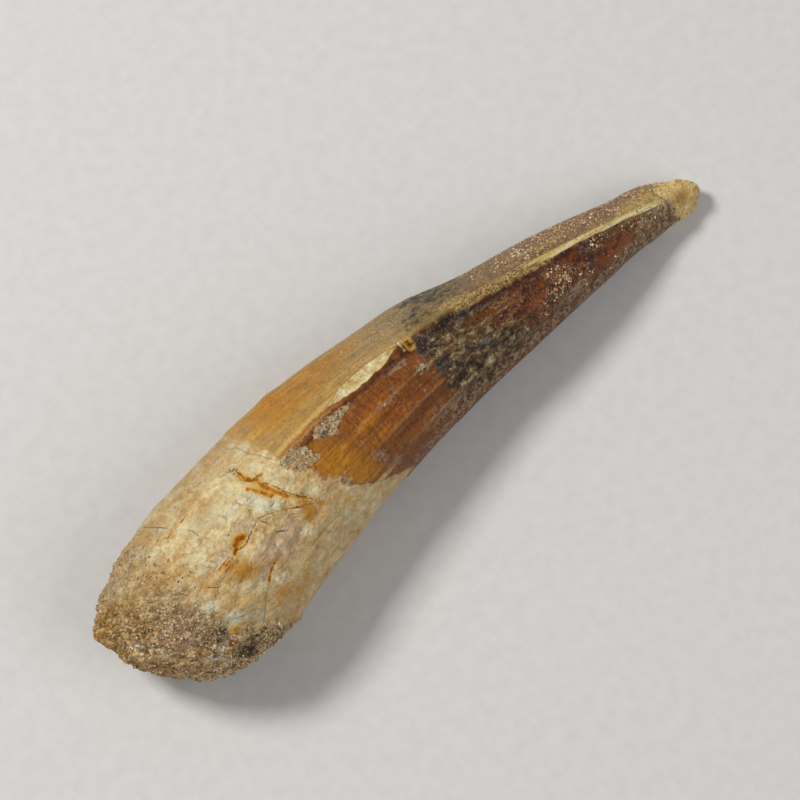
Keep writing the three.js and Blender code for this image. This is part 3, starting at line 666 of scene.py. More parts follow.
def make_mesh(name, points, quads, triangles):
    """A mesh from whole arrays of points in metres and of faces."""
    mesh = bpy.data.meshes.new(name)
    corners = np.concatenate([quads.ravel(), triangles.ravel()])
    sizes = np.concatenate([np.full(len(quads), 4), np.full(len(triangles), 3)])
    mesh.vertices.add(len(points))
    mesh.vertices.foreach_set("co", points.astype(np.float32).ravel())
    mesh.loops.add(len(corners))
    mesh.loops.foreach_set("vertex_index", corners.astype(np.int32))
    mesh.polygons.add(len(sizes))
    starts = np.concatenate([[0], np.cumsum(sizes)[:-1]])
    mesh.polygons.foreach_set("loop_start", starts.astype(np.int32))
    mesh.update(calc_edges=True)
    mesh.validate()
    piece = bpy.data.objects.new(name, mesh)
    bpy.context.collection.objects.link(piece)
    return piece


def store_values(mesh, name, values):
    """A named float, or a vector of three floats, at every vertex."""
    if values.ndim == 1:
        attribute = mesh.attributes.new(name, "FLOAT", "POINT")
        attribute.data.foreach_set("value", values.astype(np.float32))
    else:
        attribute = mesh.attributes.new(name, "FLOAT_VECTOR", "POINT")
        attribute.data.foreach_set("vector", values.astype(np.float32).ravel())


def make_tooth():
    """The whole skin on one closed grid, placed where the solid is. "straight" is the skin
    unbent, as a plain round rod, for patterns that run along the tooth."""
    distance, angle = np.meshgrid(row_distances(), column_angles(), indexing="ij")
    skin = Surface(distance, angle)

    def ordered(values):
        """The first pole, the rows between and the last pole, as one list of vertices."""
        return np.concatenate([values[0, :1], values[1:-1].reshape(-1, *values.shape[2:]), values[-1, :1]])

    low, high = skin.point.reshape(-1, 3).min(0), skin.point.reshape(-1, 3).max(0)
    box_low, box_high = (np.array(corner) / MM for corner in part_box("tooth"))
    shift = (box_low + box_high) / 2 - (low + high) / 2
    shift[2] = box_low[2] - low[2]
    quads, triangles = closed_grid_faces(ROWS, COLUMNS)
    tooth = make_mesh("fossil_tooth", (ordered(skin.point) + shift) * MM, quads, triangles)
    tooth.data.shade_smooth()

    outer = smoothstep(skin.turn, -2, 6) * (1 - smoothstep(skin.turn, 120, 150))
    store_values(tooth.data, "outer_face", ordered(outer))
    round_it = np.radians(angle)
    side, height = -PATTERN_RADIUS * np.cos(round_it), PATTERN_RADIUS * np.sin(round_it)
    straight = np.stack([distance, side, height], -1)
    store_values(tooth.data, "straight", ordered(straight))
    store_values(tooth.data, "place", ordered(skin.plain))
    zones = np.stack([skin.enamel_in, skin.crust_in, skin.tip_in], -1)
    store_values(tooth.data, "zones", ordered(zones))
    ridge = np.stack([skin.ridge_offset, skin.chip_in, skin.crest], -1)
    store_values(tooth.data, "ridge", ordered(ridge))
    store_values(tooth.data, "cracks", ordered(np.stack(skin.cracks, -1)))
    stained = np.stack([skin.stained[1], skin.stained[1], skin.stained[2]], -1)
    store_values(tooth.data, "stained", ordered(stained))
    for names in SPOT_LAYERS:
        layer = np.stack([spots_at(distance, angle, SPOTS[name]) for name in names], -1)
        store_values(tooth.data, "_".join(names), ordered(layer))
    return tooth, shift


# ---- loose grains ----


def ball_of_twenty():
    """The twelve corners and twenty faces of a regular icosahedron of radius 1."""
    golden = (1 + 5 ** 0.5) / 2
    corners = np.array([(0, a, b * golden) for a in (-1, 1) for b in (-1, 1)], float)
    corners = np.concatenate([np.roll(corners, turn, 1) for turn in range(3)])
    faces = []
    for i in range(12):
        for j in range(i + 1, 12):
            for k in range(j + 1, 12):
                sides = [np.linalg.norm(corners[a] - corners[b]) for a, b in ((i, j), (j, k), (k, i))]
                if max(sides) < 2.1:
                    outward = np.dot(np.cross(corners[j] - corners[i], corners[k] - corners[i]), corners[i])
                    faces.append((i, j, k) if outward > 0 else (i, k, j))
    return corners / np.linalg.norm(corners[0]), np.array(faces)


def make_grains(name, kinds, shift, seed):
    """Many small twenty-faced grains in one mesh. Each is a ball stretched and dented at random,
    turned at random and sunk into the skin at its own place."""
    rng = np.random.default_rng(seed)
    centres, radii, tints, hues = [], [], [], []
    for span, tries, likelihood, sizes, tint_range, sink in kinds:
        distance = rng.uniform(*span, tries)
        angle = rng.uniform(0, 360, tries)
        size = end_rounding(distance) * stations(HALF_WIDTHS, distance) / HALF_WIDTHS[0]
        chance = likelihood(distance, angle) * np.maximum(size, 0.12)
        kept = rng.random(tries) < chance
        skin = Surface(distance[kept], angle[kept])
        radius = rng.uniform(0, 1, kept.sum()) ** 1.8 * (sizes[1] - sizes[0]) + sizes[0]
        core = tooth_point(skin.distance, skin.angle, skin.relief - radius * sink)
        centres.append(core)
        radii.append(radius)
        drift = 0.22 * rough_noise(skin.plain * 0.7, 2, 121) + 0.16 * (1 - smoothstep(skin.distance, 1, 4))
        tints.append(np.clip(rng.uniform(*tint_range, kept.sum()) + drift, *tint_range))
        hue_masks = [spots_at(skin.distance, skin.angle, SPOTS[hue]) for hue in GRAIN_HUES]
        hues.append(np.stack(hue_masks, -1))
    centre, radius, tint, hue = (np.concatenate(part) for part in (centres, radii, tints, hues))
    low = centre[:, 2] - radius * 1.3 < 0.02
    centre, radius, tint, hue = centre[~low], radius[~low], tint[~low], hue[~low]
    count = len(centre)

    corners, faces = ball_of_twenty()
    dented = corners[None] * rng.uniform(0.62, 1.2, (count, 12, 1)) * rng.uniform(0.6, 1.35, (count, 1, 3))
    turns, _ = np.linalg.qr(rng.normal(size=(count, 3, 3)))
    turns *= np.sign(np.linalg.det(turns))[:, None, None]
    points = np.einsum("nij,nkj->nki", turns, dented) * radius[:, None, None] + centre[:, None]
    triangles = (faces[None] + 12 * np.arange(count)[:, None, None]).reshape(-1, 3)
    grains = make_mesh(name, (points.reshape(-1, 3) + shift) * MM, np.zeros((0, 4), int), triangles)
    store_values(grains.data, "tint", np.repeat(tint, 12))
    store_values(grains.data, "hue", np.repeat(hue, 12, axis=0))
    return grains


def on_root_crust(distance, angle):
    """Likely on the sandstone of the root end, in drifts, and sparse on its smooth outer side."""
    skin = Surface(distance, angle)
    drift = 0.6 + 0.5 * rough_noise(skin.plain * 0.8, 2, 101)
    smooth_side = bell(turn_between(145, angle), 32) * smoothstep(distance, 1.5, 3.5)
    return smoothstep(skin.crust_in, -0.9, 1.2) * drift * (1 - 0.75 * smooth_side)


def beyond_root_crust(distance, angle):
    """A thin scatter of dark grains on and past the sandstone of the outer side."""
    skin = Surface(distance, angle)
    outer = 0.12 + 0.88 * smoothstep(turn_between(95, angle), 5, 40) * (turn_between(95, angle) < 110)
    cluster = smoothstep(rough_noise(skin.plain * 0.7, 2, 103), -0.3, 0.5)
    crusted = smoothstep(skin.crust_in, -3.2, -0.2) * (1 - 0.6 * smoothstep(skin.crust_in, 1, 3))
    return crusted * outer * cluster


def on_chalk(distance, angle):
    """Likely in the pale patches of matrix."""
    return smoothstep(spots_at(distance, angle, SPOTS["chalk"]), 0.3, 0.6)


def along_ridge(distance, angle):
    """Likely on the sandy crest of the crown, which narrows towards the tip."""
    skin = Surface(distance, angle)
    sandy = smoothstep(distance, 33, 37) * (1 - smoothstep(distance, 41.5, 46))
    return sandy * bell(skin.ridge_offset - 0.12, 0.36) * 0.9


def on_tip(distance, angle):
    """Likely on the sandstone of the tip."""
    skin = Surface(distance, angle)
    return smoothstep(skin.tip_in, -1.6, 1.0)


def in_dotted_places(distance, angle):
    """Likely where the crown is dotted with pale grains."""
    skin = Surface(distance, angle)
    off_ridge = 1 - 0.8 * bell(skin.ridge_offset, 0.3)
    cluster = 0.35 + 0.65 * smoothstep(rough_noise(skin.plain * 1.1, 2, 113), -0.2, 0.4)
    return spots_at(distance, angle, SPOTS["dots"]) ** 1.5 * off_ridge * cluster


def on_crown(distance, angle):
    """A thin scatter in clusters over the crown, thicker towards the tip."""
    skin = Surface(distance, angle)
    cluster = smoothstep(rough_noise(skin.plain * 0.55, 3, 111), 0.0, 0.6)
    return smoothstep(distance, 22, 46) * smoothstep(skin.enamel_in, 1, 3) * (0.06 + 0.94 * cluster)


GRAIN_HUES = ("yellow", "pink_grey", "orange")
# Where: distance span, tries, likelihood, radii, tints and how deep each is sunk.
ROOT_GRAINS = (
    ((0, 12), 8500, on_root_crust, (0.06, 0.2), (0.3, 0.95), 0.65),
    # The nearly white grains of the next row are pale sand and also painted glints.
    ((0, 8), 6000, on_root_crust, (0.04, 0.1), (0.88, 1.0), 0.3),
    ((0, 8), 3600, on_root_crust, (0.05, 0.13), (0.0, 0.15), 0.5),
    ((3, 12), 4200, beyond_root_crust, (0.05, 0.1), (0.0, 0.2), 0.6),
    ((3, 12), 1200, beyond_root_crust, (0.05, 0.09), (0.5, 1.0), 0.5),
)
CROWN_GRAINS = (
    ((16, 46), 12000, on_chalk, (0.045, 0.11), (0.6, 1.0), 0.3),
    ((16, 46), 1400, on_chalk, (0.04, 0.08), (0.0, 0.1), 0.3),
    ((33, 58), 7000, along_ridge, (0.035, 0.08), (0.35, 0.8), 0.45),
    ((50, 58.4), 2200, on_tip, (0.04, 0.1), (0.85, 1.0), 0.45),
    ((26, 57), 17000, in_dotted_places, (0.05, 0.13), (0.7, 0.97), 0.25),
    ((38, 56), 5000, in_dotted_places, (0.08, 0.15), (0.6, 0.9), 0.35),
    ((22, 57), 5000, on_crown, (0.03, 0.07), (0.7, 1.0), 0.3),
)

# ---- materials ----

LIGHT_ON_TOP = 0.95
SHEEN_ON_TOP = 0.011


def shown(red, green, blue):
    """A linear colour from the eight-bit one that it should look like in the light, less the
    white sheen that lies over it."""
    srgb = np.array([red, green, blue]) / 255
    linear = np.where(srgb <= 0.04045, srgb / 12.92, ((srgb + 0.055) / 1.055) ** 2.4)
    own = np.clip((linear - SHEEN_ON_TOP) / LIGHT_ON_TOP, 0.002, 0.95)
    return (*(float(part) for part in own), 1.0)


class Recipe:
    """Adds shader nodes to one tree. Each method returns the new node's output socket."""

    def __init__(self, tree):
        """Keep the tree that nodes are added to."""
        self.tree = tree

    def node(self, kind, values=(), output=0, **settings):
        """Any node, with its inputs fed by number or name."""
        node = self.tree.nodes.new(kind)
        for name, value in settings.items():
            setattr(node, name, value)
        for name, value in dict(values).items():
            self.feed(node.inputs[name], value)
        return node.outputs[output]

    def feed(self, socket, value):
        """Join a socket to another, or set its own value."""
        if isinstance(value, bpy.types.NodeSocket):
            self.tree.links.new(value, socket)
        else:
            socket.default_value = value

    def sum(self, operation, first, second=0.0, third=0.0):
        """One arithmetic step on numbers."""
        return self.node("ShaderNodeMath", {0: first, 1: second, 2: third}, operation=operation)

    def times(self, *factors):
        """The product of any number of masks."""
        result = factors[0]
        for factor in factors[1:]:
            result = self.sum("MULTIPLY", result, factor)
        return result

    def away(self, mask):
        """1 minus a mask."""
        return self.sum("SUBTRACT", 1.0, mask)

    def rise(self, value, low, high):
        """0 below low and 1 above high, with a soft step between; low may be above high."""
        if low > high:
            return self.away(self.rise(value, high, low))
        values = {0: value, 1: low, 2: high}
        return self.node("ShaderNodeMapRange", values, interpolation_type="SMOOTHSTEP")

    def near(self, value, centre, half):
        """1 at the centre, 0 at half away and beyond."""
        return self.rise(self.sum("ABSOLUTE", self.sum("SUBTRACT", value, centre)), half, 0.0)

    def stored(self, name, output=1):
        """An attribute of the mesh: 1 gives its vector and 2 its number."""
        return self.node("ShaderNodeAttribute", output=output, attribute_name=name)

    def parts(self, vector):
        """The three numbers of a vector."""
        node = self.tree.nodes.new("ShaderNodeSeparateXYZ")
        self.feed(node.inputs[0], vector)
        return node.outputs[0], node.outputs[1], node.outputs[2]

    def stretched(self, vector, along, across, shift=0.0):
        """A vector scaled along the tooth and across it, and moved along by shift."""
        values = {0: vector, 1: (shift, shift * 0.7, shift * 1.3), 3: (along, across, across)}
        return self.node("ShaderNodeMapping", values)

    def noise(self, vector, scale, detail=3.0, roughness=0.55, twist=0.0):
        """Fractal noise about 0.5."""
        values = {"Vector": vector, "Scale": scale, "Detail": detail, "Roughness": roughness}
        values["Distortion"] = twist
        return self.node("ShaderNodeTexNoise", values)

    def noise_vector(self, vector, scale):
        """A small sideways push that changes from place to place."""
        turned = self.tree.nodes.new("ShaderNodeTexNoise")
        self.feed(turned.inputs["Vector"], vector)
        self.feed(turned.inputs["Scale"], scale)
        values = {0: turned.outputs["Color"], 1: (0.5, 0.5, 0.5)}
        centred = self.node("ShaderNodeVectorMath", values, operation="SUBTRACT")
        return self.node("ShaderNodeVectorMath", {0: centred, 3: 0.9}, operation="SCALE")

    def ramp(self, value, stops):
        """Colours that run smoothly through the stops."""
        node = self.tree.nodes.new("ShaderNodeValToRGB")
        elements = node.color_ramp.elements
        while len(elements) < len(stops):
            elements.new(0.5)
        for element, (position, colour) in zip(elements, stops):
            element.position = position
            element.color = colour
        self.feed(node.inputs[0], value)
        return node.outputs[0]

    def over(self, under, mask, colour):
        """One colour laid over another through a mask."""
        return self.node(
            "ShaderNodeMix", {0: mask, 6: under, 7: colour}, output=2, data_type="RGBA")

    def swing(self, noise, gain, low=0.45, high=1.6):
        """A number about 1 that follows a noise about 0.5, kept between low and high."""
        swung = self.sum("MULTIPLY_ADD", self.sum("SUBTRACT", noise, 0.5), gain, 1.0)
        return self.sum("MINIMUM", self.sum("MAXIMUM", swung, low), high)

    def shaded(self, colour, share):
        """A colour made lighter or darker by a changing number, 1 for no change."""
        return self.node("ShaderNodeVectorMath", {0: colour, 1: share}, operation="MULTIPLY")

    def use(self, group, values, output):
        """A node group, with its inputs fed by name."""
        return self.node("ShaderNodeGroup", values, output=output, node_tree=group)


def new_group(name, inputs, outputs):
    """An empty shader node group with named number or vector inputs and outputs."""
    group = bpy.data.node_groups.new(name, "ShaderNodeTree")
    for socket_name, kind in inputs:
        group.interface.new_socket(socket_name, in_out="INPUT", socket_type=kind)
    for socket_name, kind in outputs:
        group.interface.new_socket(socket_name, in_out="OUTPUT", socket_type=kind)
    start, end = group.nodes.new("NodeGroupInput"), group.nodes.new("NodeGroupOutput")
    return group, Recipe(group), start.outputs, end.inputs


NUMBER, VECTOR, COLOUR = "NodeSocketFloat", "NodeSocketVector", "NodeSocketColor"


def make_broken_group():
    """A mask broken up by noise: the mask plus the noise's swing where the mask is at all,
    with a step of a given softness near one half."""
    inputs = (("Mask", NUMBER), ("Noise", NUMBER), ("Swing", NUMBER), ("Soft", NUMBER))
    group, recipe, start, end = new_group("broken_patch", inputs, (("Mask", NUMBER),))
    swing = recipe.times(recipe.sum("SUBTRACT", start["Noise"], 0.5), start["Swing"])
    swing = recipe.times(swing, recipe.rise(start["Mask"], 0.02, 0.3))
    whole = recipe.sum("ADD", start["Mask"], swing)
    values = {
        0: whole, 1: recipe.sum("SUBTRACT", 0.5, start["Soft"]), 2: recipe.sum("ADD", 0.5, start["Soft"])}
    result = recipe.node("ShaderNodeMapRange", values, interpolation_type="SMOOTHSTEP")
    recipe.feed(end["Mask"], result)
    return group


def make_crack_group():
    """A hair line where the signed distance, made to wander, is under the half width, and the
    plain distance is small enough. Depth is 0 on its edge and 1 along its middle."""
    inputs = (("Crack", VECTOR), ("Wander", NUMBER), ("Widen", NUMBER))
    outputs = (("Mask", NUMBER), ("Depth", NUMBER))
    group, recipe, start, end = new_group("hair_crack", inputs, outputs)
    signed, plain, half = recipe.parts(start["Crack"])
    wander = recipe.times(recipe.sum("SUBTRACT", start["Wander"], 0.5), 0.3)
    gap = recipe.sum("ABSOLUTE", recipe.sum("ADD", signed, wander))
    half = recipe.times(half, start["Widen"])
    inside = recipe.sum("SUBTRACT", 1.0, recipe.sum("DIVIDE", gap, recipe.sum("ADD", half, 0.001)))
    reach = recipe.rise(recipe.sum("SUBTRACT", plain, half), 0.22, 0.1)
    recipe.feed(end["Mask"], recipe.times(recipe.rise(inside, -0.4, 0.6), reach))
    recipe.feed(end["Depth"], recipe.rise(inside, -0.2, 1.0))
    return group


def make_speck_group():
    """Round specks: cells of a given size, a share of which hold a speck of changing size."""
    inputs = (("Vector", VECTOR), ("Scale", NUMBER), ("Share", NUMBER), ("Size", NUMBER))
    group, recipe, start, end = new_group("specks", inputs, (("Mask", NUMBER),))
    cells = recipe.tree.nodes.new("ShaderNodeTexVoronoi")
    recipe.feed(cells.inputs["Vector"], start["Vector"])
    recipe.feed(cells.inputs["Scale"], start["Scale"])
    chosen, size, _ = recipe.parts(cells.outputs["Color"])
    size = recipe.times(recipe.sum("ADD", recipe.times(size, 0.6), 0.4), start["Size"])
    inside = recipe.rise(recipe.sum("SUBTRACT", size, cells.outputs["Distance"]), -0.03, 0.06)
    held = recipe.sum("LESS_THAN", chosen, start["Share"])
    recipe.feed(end["Mask"], recipe.times(inside, held))
    return group


def make_grain_colour_group():
    """The colours of sand grains from a changing number: smoky, brown, tan, honey and clear."""
    group, recipe, start, end = new_group("sand_colour", (("Tint", NUMBER),), (("Color", COLOUR),))
    stops = (
        (0.0, shown(46, 36, 28)), (0.1, shown(92, 68, 46)), (0.3, shown(136, 103, 68)),
        (0.55, shown(166, 130, 88)), (0.75, shown(188, 158, 112)), (0.9, shown(208, 188, 150)),
        (1.0, shown(232, 222, 200)),
    )
    recipe.feed(end["Color"], recipe.ramp(start["Tint"], stops))
    return group


def new_material(name, roughness=0.6):
    """A material with its Principled shader, and a recipe for its tree."""
    material = bpy.data.materials.new(name)
    material.use_nodes = True
    shader = material.node_tree.nodes["Principled BSDF"]
    shader.inputs["Roughness"].default_value = roughness
    return material, Recipe(material.node_tree), shader


class Skin:
    """The masks and noises that every finish of the tooth's skin is mixed from."""

    def __init__(self, recipe, groups):
        """Read what the mesh stores, and make the noises that the finishes share."""
        self.recipe, self.groups = recipe, groups
        self.straight = recipe.stored("straight")
        self.place = recipe.stored("place")
        self.distance, self.side, self.height = recipe.parts(self.straight)
        self.enamel_in, self.crust_in, self.tip_in = recipe.parts(recipe.stored("zones"))
        self.ridge_offset, self.chip_in, self.flute = recipe.parts(recipe.stored("ridge"))
        self.outer = recipe.stored("outer_face", 2)
        self.inner = recipe.away(self.outer)
        self.spots = {}
        pushed = recipe.noise_vector(self.place, 2.4)
        self.bent = recipe.node("ShaderNodeVectorMath", {0: self.place, 1: pushed}, operation="ADD")
        self.dust = recipe.noise(self.place, 8.5, 2.0, 0.6)
        self.fine = recipe.noise(self.place, 3.4, 4.0, 0.65)
        self.middling = recipe.noise(self.place, 1.2, 5.0, 0.65)
        self.cloudy = recipe.noise(self.place, 0.4, 5.0, 0.6)
        self.streaks = recipe.noise(recipe.stretched(self.straight, 0.22, 2.2), 1.0, 5.0, 0.65)
        self.fine_streaks = recipe.noise(recipe.stretched(self.straight, 0.6, 7.0, 3.0), 1.0, 3.0, 0.6)
        self.hatch = recipe.noise(recipe.stretched(self.straight, 4.4, 0.8, 5.0), 1.0, 2.0, 0.5, 0.3)

    def spot(self, name):
        """The mask of a kind of spot, read from the mesh when it is first asked for."""
        if name not in self.spots:
            names = next(layer for layer in SPOT_LAYERS if name in layer)
            self.spots.update(zip(names, self.recipe.parts(self.recipe.stored("_".join(names)))))
        return self.spots[name]

    def patch(self, name, noise, swing=1.0, soft=0.2):
        """A kind of spot, broken up by noise."""
        values = {"Mask": self.spot(name), "Noise": noise, "Swing": swing, "Soft": soft}
        return self.recipe.use(self.groups["broken"], values, 0)

    def speckle(self, scale, share, size, along=1.0, across=1.0, shift=0.0, place=None):
        """Specks spread through the skin's own place, or through another vector like it."""
        vector = place or self.place
        if along != across:
            vector = self.recipe.stretched(vector, along, across, shift)
        values = {"Vector": vector, "Scale": scale, "Share": share, "Size": size}
        return self.recipe.use(self.groups["specks"], values, 0)

    def along(self, *stops):
        """Colours by distance along the tooth, in millimetres."""
        share = self.recipe.sum("DIVIDE", self.distance, TOOTH_LENGTH)
        return self.recipe.ramp(share, [(place / TOOTH_LENGTH, shown(*colour)) for place, *colour in stops])

    def layers(self, colour, *coats):
        """Coats laid over a colour in turn, each a mask, its strength and its colour."""
        for mask, strength, coat in coats:
            paint = shown(*coat) if isinstance(coat, tuple) else coat
            colour = self.recipe.over(colour, self.recipe.times(mask, strength), paint)
        return colour


def root_colour(skin):
    """Cream dentine clouded with chalky blue, greyish pink and rusty orange. Its sides and underside are
    painted tan and darker as shade, pale streaks along its top are a painted highlight, and small dents
    carry painted glints and painted shadows.
    """
    recipe = skin.recipe
    cloud = recipe.sum("MULTIPLY_ADD", skin.cloudy, 0.3, recipe.times(skin.middling, 0.4))
    cloud = recipe.sum("MULTIPLY_ADD", skin.fine, 0.3, cloud)
    root = recipe.ramp(cloud, (
        (0.4, shown(188, 146, 90)), (0.46, shown(206, 173, 117)), (0.51, shown(214, 190, 138)),
        (0.57, shown(222, 206, 162))))
    veil = recipe.noise(skin.place, 0.7, 4.0, 0.6, 0.4)
    root = skin.layers(
        root,
        # Painted shade: the next three coats make the root tan and darker towards both sides and towards its
        # underside.
        (recipe.rise(skin.side, 2.6, 5.0), 0.65, (174, 140, 88)),
        (recipe.rise(skin.side, -0.5, -4.2), 0.55, (180, 150, 104)),
        (recipe.rise(skin.height, 1.5, -2.5), 0.8, (186, 152, 102)),
        # Painted highlight: pale cream streaks along the top of the root.
        (skin.patch("bright", skin.cloudy, 1.2, 0.4), 0.75, (224, 206, 156)),
        (recipe.rise(veil, 0.53, 0.6), 0.35, (192, 146, 82)),
        (recipe.rise(veil, 0.46, 0.4), 0.4, (212, 206, 170)),
        (skin.patch("pink_grey", skin.fine, 1.4, 0.35), 0.7, (178, 148, 118)),
        (skin.patch("blue_white", skin.fine, 1.4, 0.35), 0.8, (216, 212, 184)),
        (skin.patch("yellow", skin.middling, 1.8, 0.4), 0.8, (198, 146, 40)),
        (skin.patch("orange", skin.middling, 1.8, 0.4), 0.9, (178, 122, 22)),
    )
    root = recipe.shaded(root, recipe.swing(skin.middling, 0.6))
    root = recipe.shaded(root, recipe.swing(skin.fine, 0.6))
    root = recipe.shaded(root, recipe.swing(skin.fine_streaks, 0.4))
    root = recipe.shaded(root, recipe.swing(skin.dust, 0.35))
    pitted = recipe.times(skin.speckle(1.7, 0.2, 0.2), recipe.rise(skin.cloudy, 0.42, 0.56))
    # Painted glints: sparse near-white flecks.
    painted_glint_flecks = recipe.times(skin.speckle(2.2, 0.2, 0.2), recipe.rise(skin.middling, 0.45, 0.6))
    crazed = recipe.near(recipe.noise(skin.straight, 0.9, 3.0, 0.6, 0.6), 0.5, 0.006)
    stretched = recipe.times(recipe.near(skin.fine_streaks, 0.5, 0.025), recipe.rise(skin.side, 0.5, -3.5))
    smeared = recipe.noise(recipe.stretched(skin.place, 1.6, 1.0, 17.0), 1.9, 4.0, 0.7, 0.3)
    smeared = recipe.times(
        recipe.rise(smeared, 0.58, 0.62), recipe.rise(skin.crust_in, -3.6, -0.8),
        recipe.rise(skin.side, -1, 1))
    pearly = recipe.rise(recipe.sum("ADD", skin.spot("pink_grey"), skin.spot("blue_white")), 0.15, 0.4)
    pearly = recipe.times(pearly, recipe.rise(skin.distance, 6.5, 8))
    bent = skin.bent
    # Painted highlights and painted shadows: each small dent gets a near-white glint and a darker mauve
    # patch just beside it.
    painted_dent_shadow = recipe.times(skin.speckle(1.4, 0.5, 0.38, 1.6, 0.8, 20.0, bent), pearly)
    lit = recipe.times(skin.speckle(1.4, 0.5, 0.22, 1.6, 0.8, 20.14, bent), pearly)
    return skin.layers(
        root,
        (smeared, 0.75, (92, 70, 46)),
        (painted_dent_shadow, 0.45, (152, 122, 92)),
        (lit, 0.65, (240, 228, 200)),
        (recipe.times(crazed, recipe.rise(skin.fine, 0.46, 0.54)), 0.5, (112, 88, 54)),
        (stretched, 0.3, (134, 106, 66)),
        (pitted, 0.6, (104, 76, 44)),
        (painted_glint_flecks, 0.75, (244, 234, 204)),
    )


def enamel_colour(skin):
    """Golden to purplish brown on the outer face and amber to dark brown on the inner one. The inner face's
    far edge is painted darker as shade, and pale streaks are a painted highlight.
    """
    recipe = skin.recipe
    outer_face = skin.along(
        (16.5, 192, 152, 84), (20.5, 184, 132, 34), (25.5, 174, 130, 48), (29, 166, 134, 80),
        (32, 148, 120, 78), (36, 126, 100, 64), (40, 132, 98, 64), (46, 136, 96, 64),
        (52, 138, 100, 70), (56, 152, 118, 70))
    inner_face = skin.along(
        (17, 160, 106, 30), (20.5, 150, 94, 10), (25.5, 144, 84, 12), (29.5, 128, 76, 28),
        (33, 92, 62, 34), (37, 90, 58, 30), (41, 98, 54, 16), (47, 90, 45, 10),
        (51, 110, 70, 36), (53.5, 146, 112, 72), (57, 180, 146, 96))
    crown = recipe.over(inner_face, skin.outer, outer_face)
    painted_far_side_shade = recipe.rise(skin.side, -2.0, -4.4)
    near_ridge = recipe.times(recipe.near(skin.ridge_offset, 1.2, 1.6), recipe.rise(skin.distance, 33, 27))
    rusty = recipe.rise(skin.flute, -0.15, -0.8)
    crown = skin.layers(
        crown,
        # Painted shade: the inner face is laid darker towards its far edge.
        (painted_far_side_shade, 0.45, (112, 78, 46)),
        (recipe.times(near_ridge, skin.outer), 0.7, (184, 146, 88)),
        (skin.patch("gold", skin.streaks, 1.6, 0.35), 0.75, (182, 120, 24)),
        # Painted highlight: pale streaks on the crown.
        (skin.patch("bright", skin.streaks, 1.6, 0.3), 0.75, (204, 178, 122)),
        (recipe.times(rusty, skin.inner), 0.35, (130, 68, 14)),
        (skin.patch("rust", skin.middling, 2.0, 0.45), 0.4, (138, 70, 18)),
        (skin.patch("umber", skin.streaks, 2.0, 0.35), 0.75, (62, 36, 16)),
    )
    streakiness = recipe.sum("MULTIPLY_ADD", skin.inner, 0.5, 0.6)
    crown = recipe.shaded(crown, recipe.swing(skin.streaks, streakiness))
    crown = recipe.shaded(crown, recipe.swing(skin.fine_streaks, 1.2))
    crown = recipe.shaded(crown, recipe.swing(skin.middling, 1.0))
    further = recipe.rise(skin.distance, 25, 34)
    crown = recipe.shaded(crown, recipe.swing(skin.fine, recipe.sum("MULTIPLY_ADD", further, 0.8, 0.8)))
    crown = recipe.shaded(crown, recipe.swing(skin.dust, recipe.sum("MULTIPLY_ADD", further, 0.8, 0.6)))
    mottle = recipe.noise(recipe.stretched(skin.place, 0.8, 1.5, 13.0), 1.5, 5.0, 0.7)
    mottled = recipe.times(skin.inner, recipe.rise(skin.distance, 34, 39))
    crown = skin.layers(
        crown,
        (recipe.times(mottled, recipe.rise(mottle, 0.48, 0.42)), 0.65, (48, 25, 12)),
        (recipe.times(mottled, recipe.rise(mottle, 0.53, 0.61)), 0.7, (136, 72, 24)),
    )
    on_flutes = recipe.times(skin.inner, recipe.rise(skin.distance, 20, 24))
    bars = recipe.times(on_flutes, recipe.rise(skin.hatch, 0.5, 0.56), recipe.rise(skin.distance, 50, 34))
    crest = recipe.times(
        recipe.rise(skin.flute, 0.86, 0.97), recipe.rise(skin.streaks, 0.3, 0.44), skin.inner)
    film = recipe.times(recipe.rise(skin.middling, 0.52, 0.66), recipe.rise(skin.cloudy, 0.46, 0.62))
    powder = recipe.times(skin.speckle(4.2, 0.5, 0.32), recipe.rise(skin.middling, 0.4, 0.56))
    powder = recipe.times(powder, recipe.sum("MULTIPLY_ADD", skin.outer, 0.4, 0.3))
    ashen = recipe.ramp(skin.fine, (
        (0.42, shown(68, 46, 32)), (0.5, shown(116, 90, 68)), (0.58, shown(170, 144, 114))))
    scratched = recipe.times(
        recipe.rise(skin.fine_streaks, 0.58, 0.66), skin.outer, recipe.rise(skin.distance, 20, 24))
    ashy = recipe.times(skin.patch("grey", skin.fine, 3.4, 0.35), recipe.rise(skin.fine_streaks, 0.38, 0.54))
    return skin.layers(
        crown,
        (bars, 0.32, (66, 34, 8)),
        (crest, 0.34, (184, 132, 80)),
        (film, 0.35, (146, 116, 84)),
        (recipe.times(powder, recipe.rise(skin.distance, 20, 29)), 1.0, (208, 182, 142)),
        (scratched, 0.4, (206, 180, 140)),
        (skin.patch("mauve", skin.fine, 3.0, 0.35), 0.7, ashen),
        (ashy, 0.75, (156, 138, 112)),
    )


